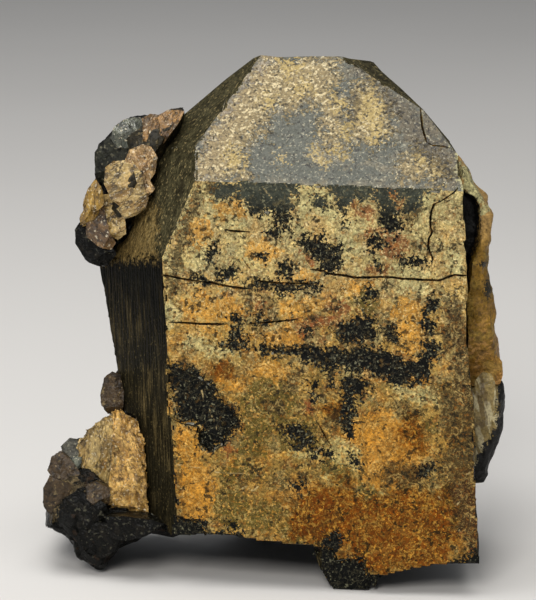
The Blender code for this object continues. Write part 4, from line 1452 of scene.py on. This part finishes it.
tan = mineral("tan_feldspar", (192, 166, 110), (128, 100, 54), (44, 34, 22), (0, -60, 0), 0.26, 0.3)
pink = mineral("pink_feldspar", (190, 158, 110), (134, 102, 60), (64, 46, 28), (0, 10, 0), 0.22)
orange = mineral("orange_feldspar", (150, 112, 62), (100, 78, 48), (54, 38, 24), (0, -30, 0), 0.3)
amber = mineral(
    "amber_feldspar", (160, 128, 62), (110, 84, 40), (60, 46, 28), (0, -12, 0), 0.26, 0.2
)
dark = rubble("dark_speckled_rock", (36, 37, 30), (16, 16, 13), (118, 114, 94), 0.5, 0.15)
UPPER_GRAINS = [
    ("quartz_grain", clear, -0.2, (-14, 22), 5, [(116, 128), (124, 122), (134, 120), (142, 121),
     (144, 132), (143, 144), (130, 147), (117, 146), (112, 138)]),
    ("pink_orange_grain", orange, -1.6, (-6, 28), 4, [(142, 121), (150, 117), (158, 118),
     (161, 130), (158, 143), (150, 149), (143, 144), (144, 132)]),
    ("orange_grain", orange, -1.6, (-18, 30), 4, [(158, 118), (168, 113), (179, 112), (183, 114),
     (178, 124), (170, 134), (163, 146), (156, 146), (161, 130)]),
    ("dark_grain", dark, -0.2, (-24, 12), 6, [(97, 154), (103, 146), (112, 138), (117, 146),
     (130, 147), (131, 158), (124, 166), (112, 174), (104, 182), (97, 180)]),
    ("pink_grain", pink, -3.2, (-8, 14), 5, [(131, 152), (142, 147), (150, 149), (156, 158),
     (154, 172), (148, 180), (140, 179), (133, 170), (127, 162)]),
    ("tan_left_grain", tan, -3.5, (-22, 8), 6, [(107, 170), (114, 165), (127, 163), (134, 171),
     (137, 186), (131, 199), (121, 206), (112, 197), (106, 184)]),
    ("tan_right_grain", tan, -4, (-2, -4), 6, [(131, 163), (141, 176), (144, 191), (147, 198),
     (144, 207), (136, 214), (126, 217), (119, 207), (130, 199), (136, 186)]),
    ("inner_grain", tan, -2.8, (0, 0), 4, [(128, 158), (142, 166), (147, 182), (137, 192),
     (123, 180)]),
    ("small_bright_grain", pink, -3.7, (5, 14), 4, [(140, 179), (148, 179), (154, 189), (148, 196),
     (143, 190)]),
    ("striated_grain", tan, -2.4, (-34, 0), 5, [(102, 198), (111, 197), (119, 207), (124, 219),
     (125, 233), (117, 241), (108, 233), (103, 215)]),
    ("reddish_grain", red, -2.4, (-22, 4), 5, [(87, 222), (94, 210), (103, 203), (105, 216),
     (109, 233), (115, 242), (111, 249), (98, 244), (88, 236)]),
    ("amber_tip", amber, -3, (-30, 5), 4, [(84, 205), (88, 190), (95, 181), (101, 190), (104, 204),
     (96, 210), (86, 216)]),
    ("glossy_lump", black_rock, -1.2, (-28, 14), 5, [(77, 234), (84, 223), (91, 231), (99, 241),
     (112, 247), (115, 254), (110, 262), (99, 266), (86, 258), (77, 246)]),
]
for seed, (name, finish, front, way, thick, outline) in enumerate(UPPER_GRAINS):
    piece = shard(name, grown(outline, front, 1.2), front, way, thick, 0.25, seed + 20)
    slot_name = "quartz" if finish is clear else "feldspar"
    slot_name = "dark_matrix" if finish in (dark, black_rock) else slot_name
    finished(piece, finish)
amber_shard = dressed("amber_grain", "amber_shard", 0.22)
stepped(amber_shard, (1, 0.2, -0.3), 1.1, 0.4, 0.4, 51)
pressed_in(amber_shard, "amber_chips", 1.1, 0.4)
finished(amber_shard, amber)
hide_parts("amber_grain")


# Right side: a slab of iron-stained feldspar, standing off the crystal by a recessed seam with
# painted shadow in it, with a pale green coat on its shoulder and a grain of smoky quartz below it.
SHADOWED_SEAM = upright([
    [(452, 185), (474, 196), (479, 206), (480, 222), (478, 240), (474, 252), (470, 262), (466, 300),
     (467, 345), (471, 380), (474, 420), (476, 450), (476, 500), (450, 500)],
], -9)
GREEN_COAT = upright([
    [(440, 136), (472, 148), (488, 178), (491, 190), (478, 197), (462, 194)],
], 0)
BLACK_SPOTS = upright([
    [(484, 280), (489, 276), (492, 288), (488, 296), (484, 290)],
    [(478, 262), (484, 258), (489, 262), (484, 266)],
], -9)
stained, tree, shader, place = new_finish("stained_feldspar")
height = add(tree, "SeparateXYZ", [(0, place)]).outputs[2]
colour = over(tree, from_to(tree, height, 38.0, 32.0), srgb(132, 100, 34), srgb(142, 102, 42))
colour = toned(tree, place, colour, 0.5, 1.4)
crumbs = sums(tree, "MULTIPLY", specks(tree, place, 1.2, 0.50), from_to(tree, height, 46.0, 36.0))
colour = over(tree, part_of(tree, crumbs, 0.7), colour, srgb(176, 132, 74))
colour = over(tree, part_of(tree, specks(tree, place, 0.35, 0.54), 0.5), colour, srgb(150, 124, 56))
colour = over(tree, part_of(tree, specks(tree, place, 1.3, 0.58), 0.6), colour, srgb(60, 42, 18))
lit_top = from_to(tree, height, 52.0, 55.0, 0.0, 0.8)
colour = over(tree, lit_top, colour, toned(tree, place, srgb(164, 132, 80), 1.0, 1.6))
coat = patch(tree, place, "green_coat", 4, 0.7, 0.5)
green = toned(tree, place, srgb(172, 164, 116), 1.2, 2.0)
green = over(tree, part_of(tree, threads(tree, place, 0.7, 0.04), 0.85), green, srgb(40, 38, 28))
colour = over(tree, coat, colour, green)
colour = over(tree, patch(tree, place, "black_spots", 2, 1.2, 0.3), colour, srgb(36, 34, 26))
# The seam is painted near black: painted shadow in the gap to the crystal.
colour = over(tree, patch(tree, place, "seam_shadow", 1.4, 0.8, 0.3, 1.5), colour, srgb(9, 8, 7))
colour = toned(tree, place, colour, 2.6, 2.4)
tree.links.new(colour, shader.inputs["Base Color"])
shader.inputs["Roughness"].default_value = 0.5
shader.inputs["Specular IOR Level"].default_value = 0.25
relief(tree, shader, [(noise_of(tree, place, 0.8, 5), 0.5), (noise_of(tree, place, 2.6, 4), 0.2)])

right_slab = dressed("right_feldspar", "right_feldspar_slab", 0.28)
corners, facing = points_of(right_slab)
seam = inside(corners[:, [0, 2]], SHADOWED_SEAM)
weigh(right_slab, "seam", np.clip(seam / 0.8, 0, 1) * (corners[:, 2] > 45))
work(right_slab, "DISPLACE", direction="Y", strength=3.2 * MM, mid_level=0, vertex_group="seam")
pressed_in(right_slab, "slab_chips", 2.2, 0.8)
corners, facing = points_of(right_slab)
in_front = corners[:, 1] < -7
wander = 3.5 * roll(corners, 6, 61)
# Where the gap to the crystal gets painted shadow.
note(right_slab, "seam_shadow", np.where(in_front, inside(corners[:, [0, 2]], SHADOWED_SEAM), -3))
coat = inside(corners[:, [0, 2]], GREEN_COAT, 8)
note(right_slab, "green_coat", np.where(in_front, coat, coat + wander - 0.3 * (corners[:, 1] + 7)))
spots = inside(corners[:, [0, 2]], BLACK_SPOTS)
note(right_slab, "black_spots", np.where(in_front, spots, wander - 2.4))
finished(right_slab, stained)
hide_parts("right_feldspar")

BLACK_RIM = upright([
    [(501, 366), (512, 366), (512, 490), (472, 490), (474, 464), (478, 452), (484, 444), (491, 434),
     (496, 424), (499, 408), (499, 388)],
], -9)
BLACK_FILL = upright([[(462, 350), (492, 348), (503, 362), (504, 376), (500, 386), (484, 390),
    (462, 384)]], -9.5)[0]
QUARTZ_FACE = upright([[(474, 380), (483, 371), (493, 373), (497, 388), (495, 412), (489, 432),
    (480, 450), (475, 436), (473, 410)]], -12.2)[0]
smoky, tree, shader, place = new_finish("smoky_quartz")
upright = drawn_out(tree, place, (0, 12, 0), (1, 1, 0.22))
colour = toned(tree, upright, srgb(132, 114, 70), 0.6, 1.8)
# Painted highlights: pale streaks drawn up the quartz, standing in for its bright reflections.
highlight_streaks = specks(tree, upright, 0.9, 0.53)
colour = over(tree, part_of(tree, highlight_streaks, 0.6), colour, srgb(192, 182, 146))
shade = specks(tree, elsewhere(tree, upright, 4), 0.9, 0.55)
colour = over(tree, part_of(tree, shade, 0.6), colour, srgb(76, 58, 30))
rim = patch(tree, place, "black_rim", 2.5, 0.9, 0.3)
colour = over(tree, rim, colour, srgb(12, 11, 9))
colour = toned(tree, place, colour, 2.6, 2.0)
tree.links.new(colour, shader.inputs["Base Color"])
tree.links.new(from_to(tree, rim, 0, 1, 0.16, 0.55), shader.inputs["Roughness"])
shader.inputs["Specular IOR Level"].default_value = 0.3
relief(tree, shader, [(noise_of(tree, place, 0.7, 5), 0.6), (noise_of(tree, place, 2.4, 4), 0.14)])
gap_rock = shard("slab_foot", BLACK_FILL, -9.5, (10, 0), 3.5, 0.3, 5)
for name in ("seam_shadow", "green_coat", "black_spots"):
    note(gap_rock, name, np.full(len(gap_rock.data.vertices), -5.0))
finished(gap_rock, stained)
quartz_face = shard("smoky_quartz_face", QUARTZ_FACE, -12.2, (20, 0), 5, 0.25, 3)
right_quartz = dressed("right_quartz", "right_quartz_grain", 0.26)
pressed_in(right_quartz, "quartz_chips", 2.2, 0.5)
for piece in (right_quartz, quartz_face):
    corners, facing = points_of(piece)
    rim = inside(corners[:, [0, 2]], BLACK_RIM)
    behind = 3 * roll(corners, 5, 67) - 0.8
    in_front = corners[:, 1] < 5 * roll(corners, 3, 29) - 7
    note(piece, "black_rim", np.where(in_front, rim + 0.3, behind))
finished(quartz_face, smoky)
finished(right_quartz, smoky)
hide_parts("right_quartz")

low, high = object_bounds()
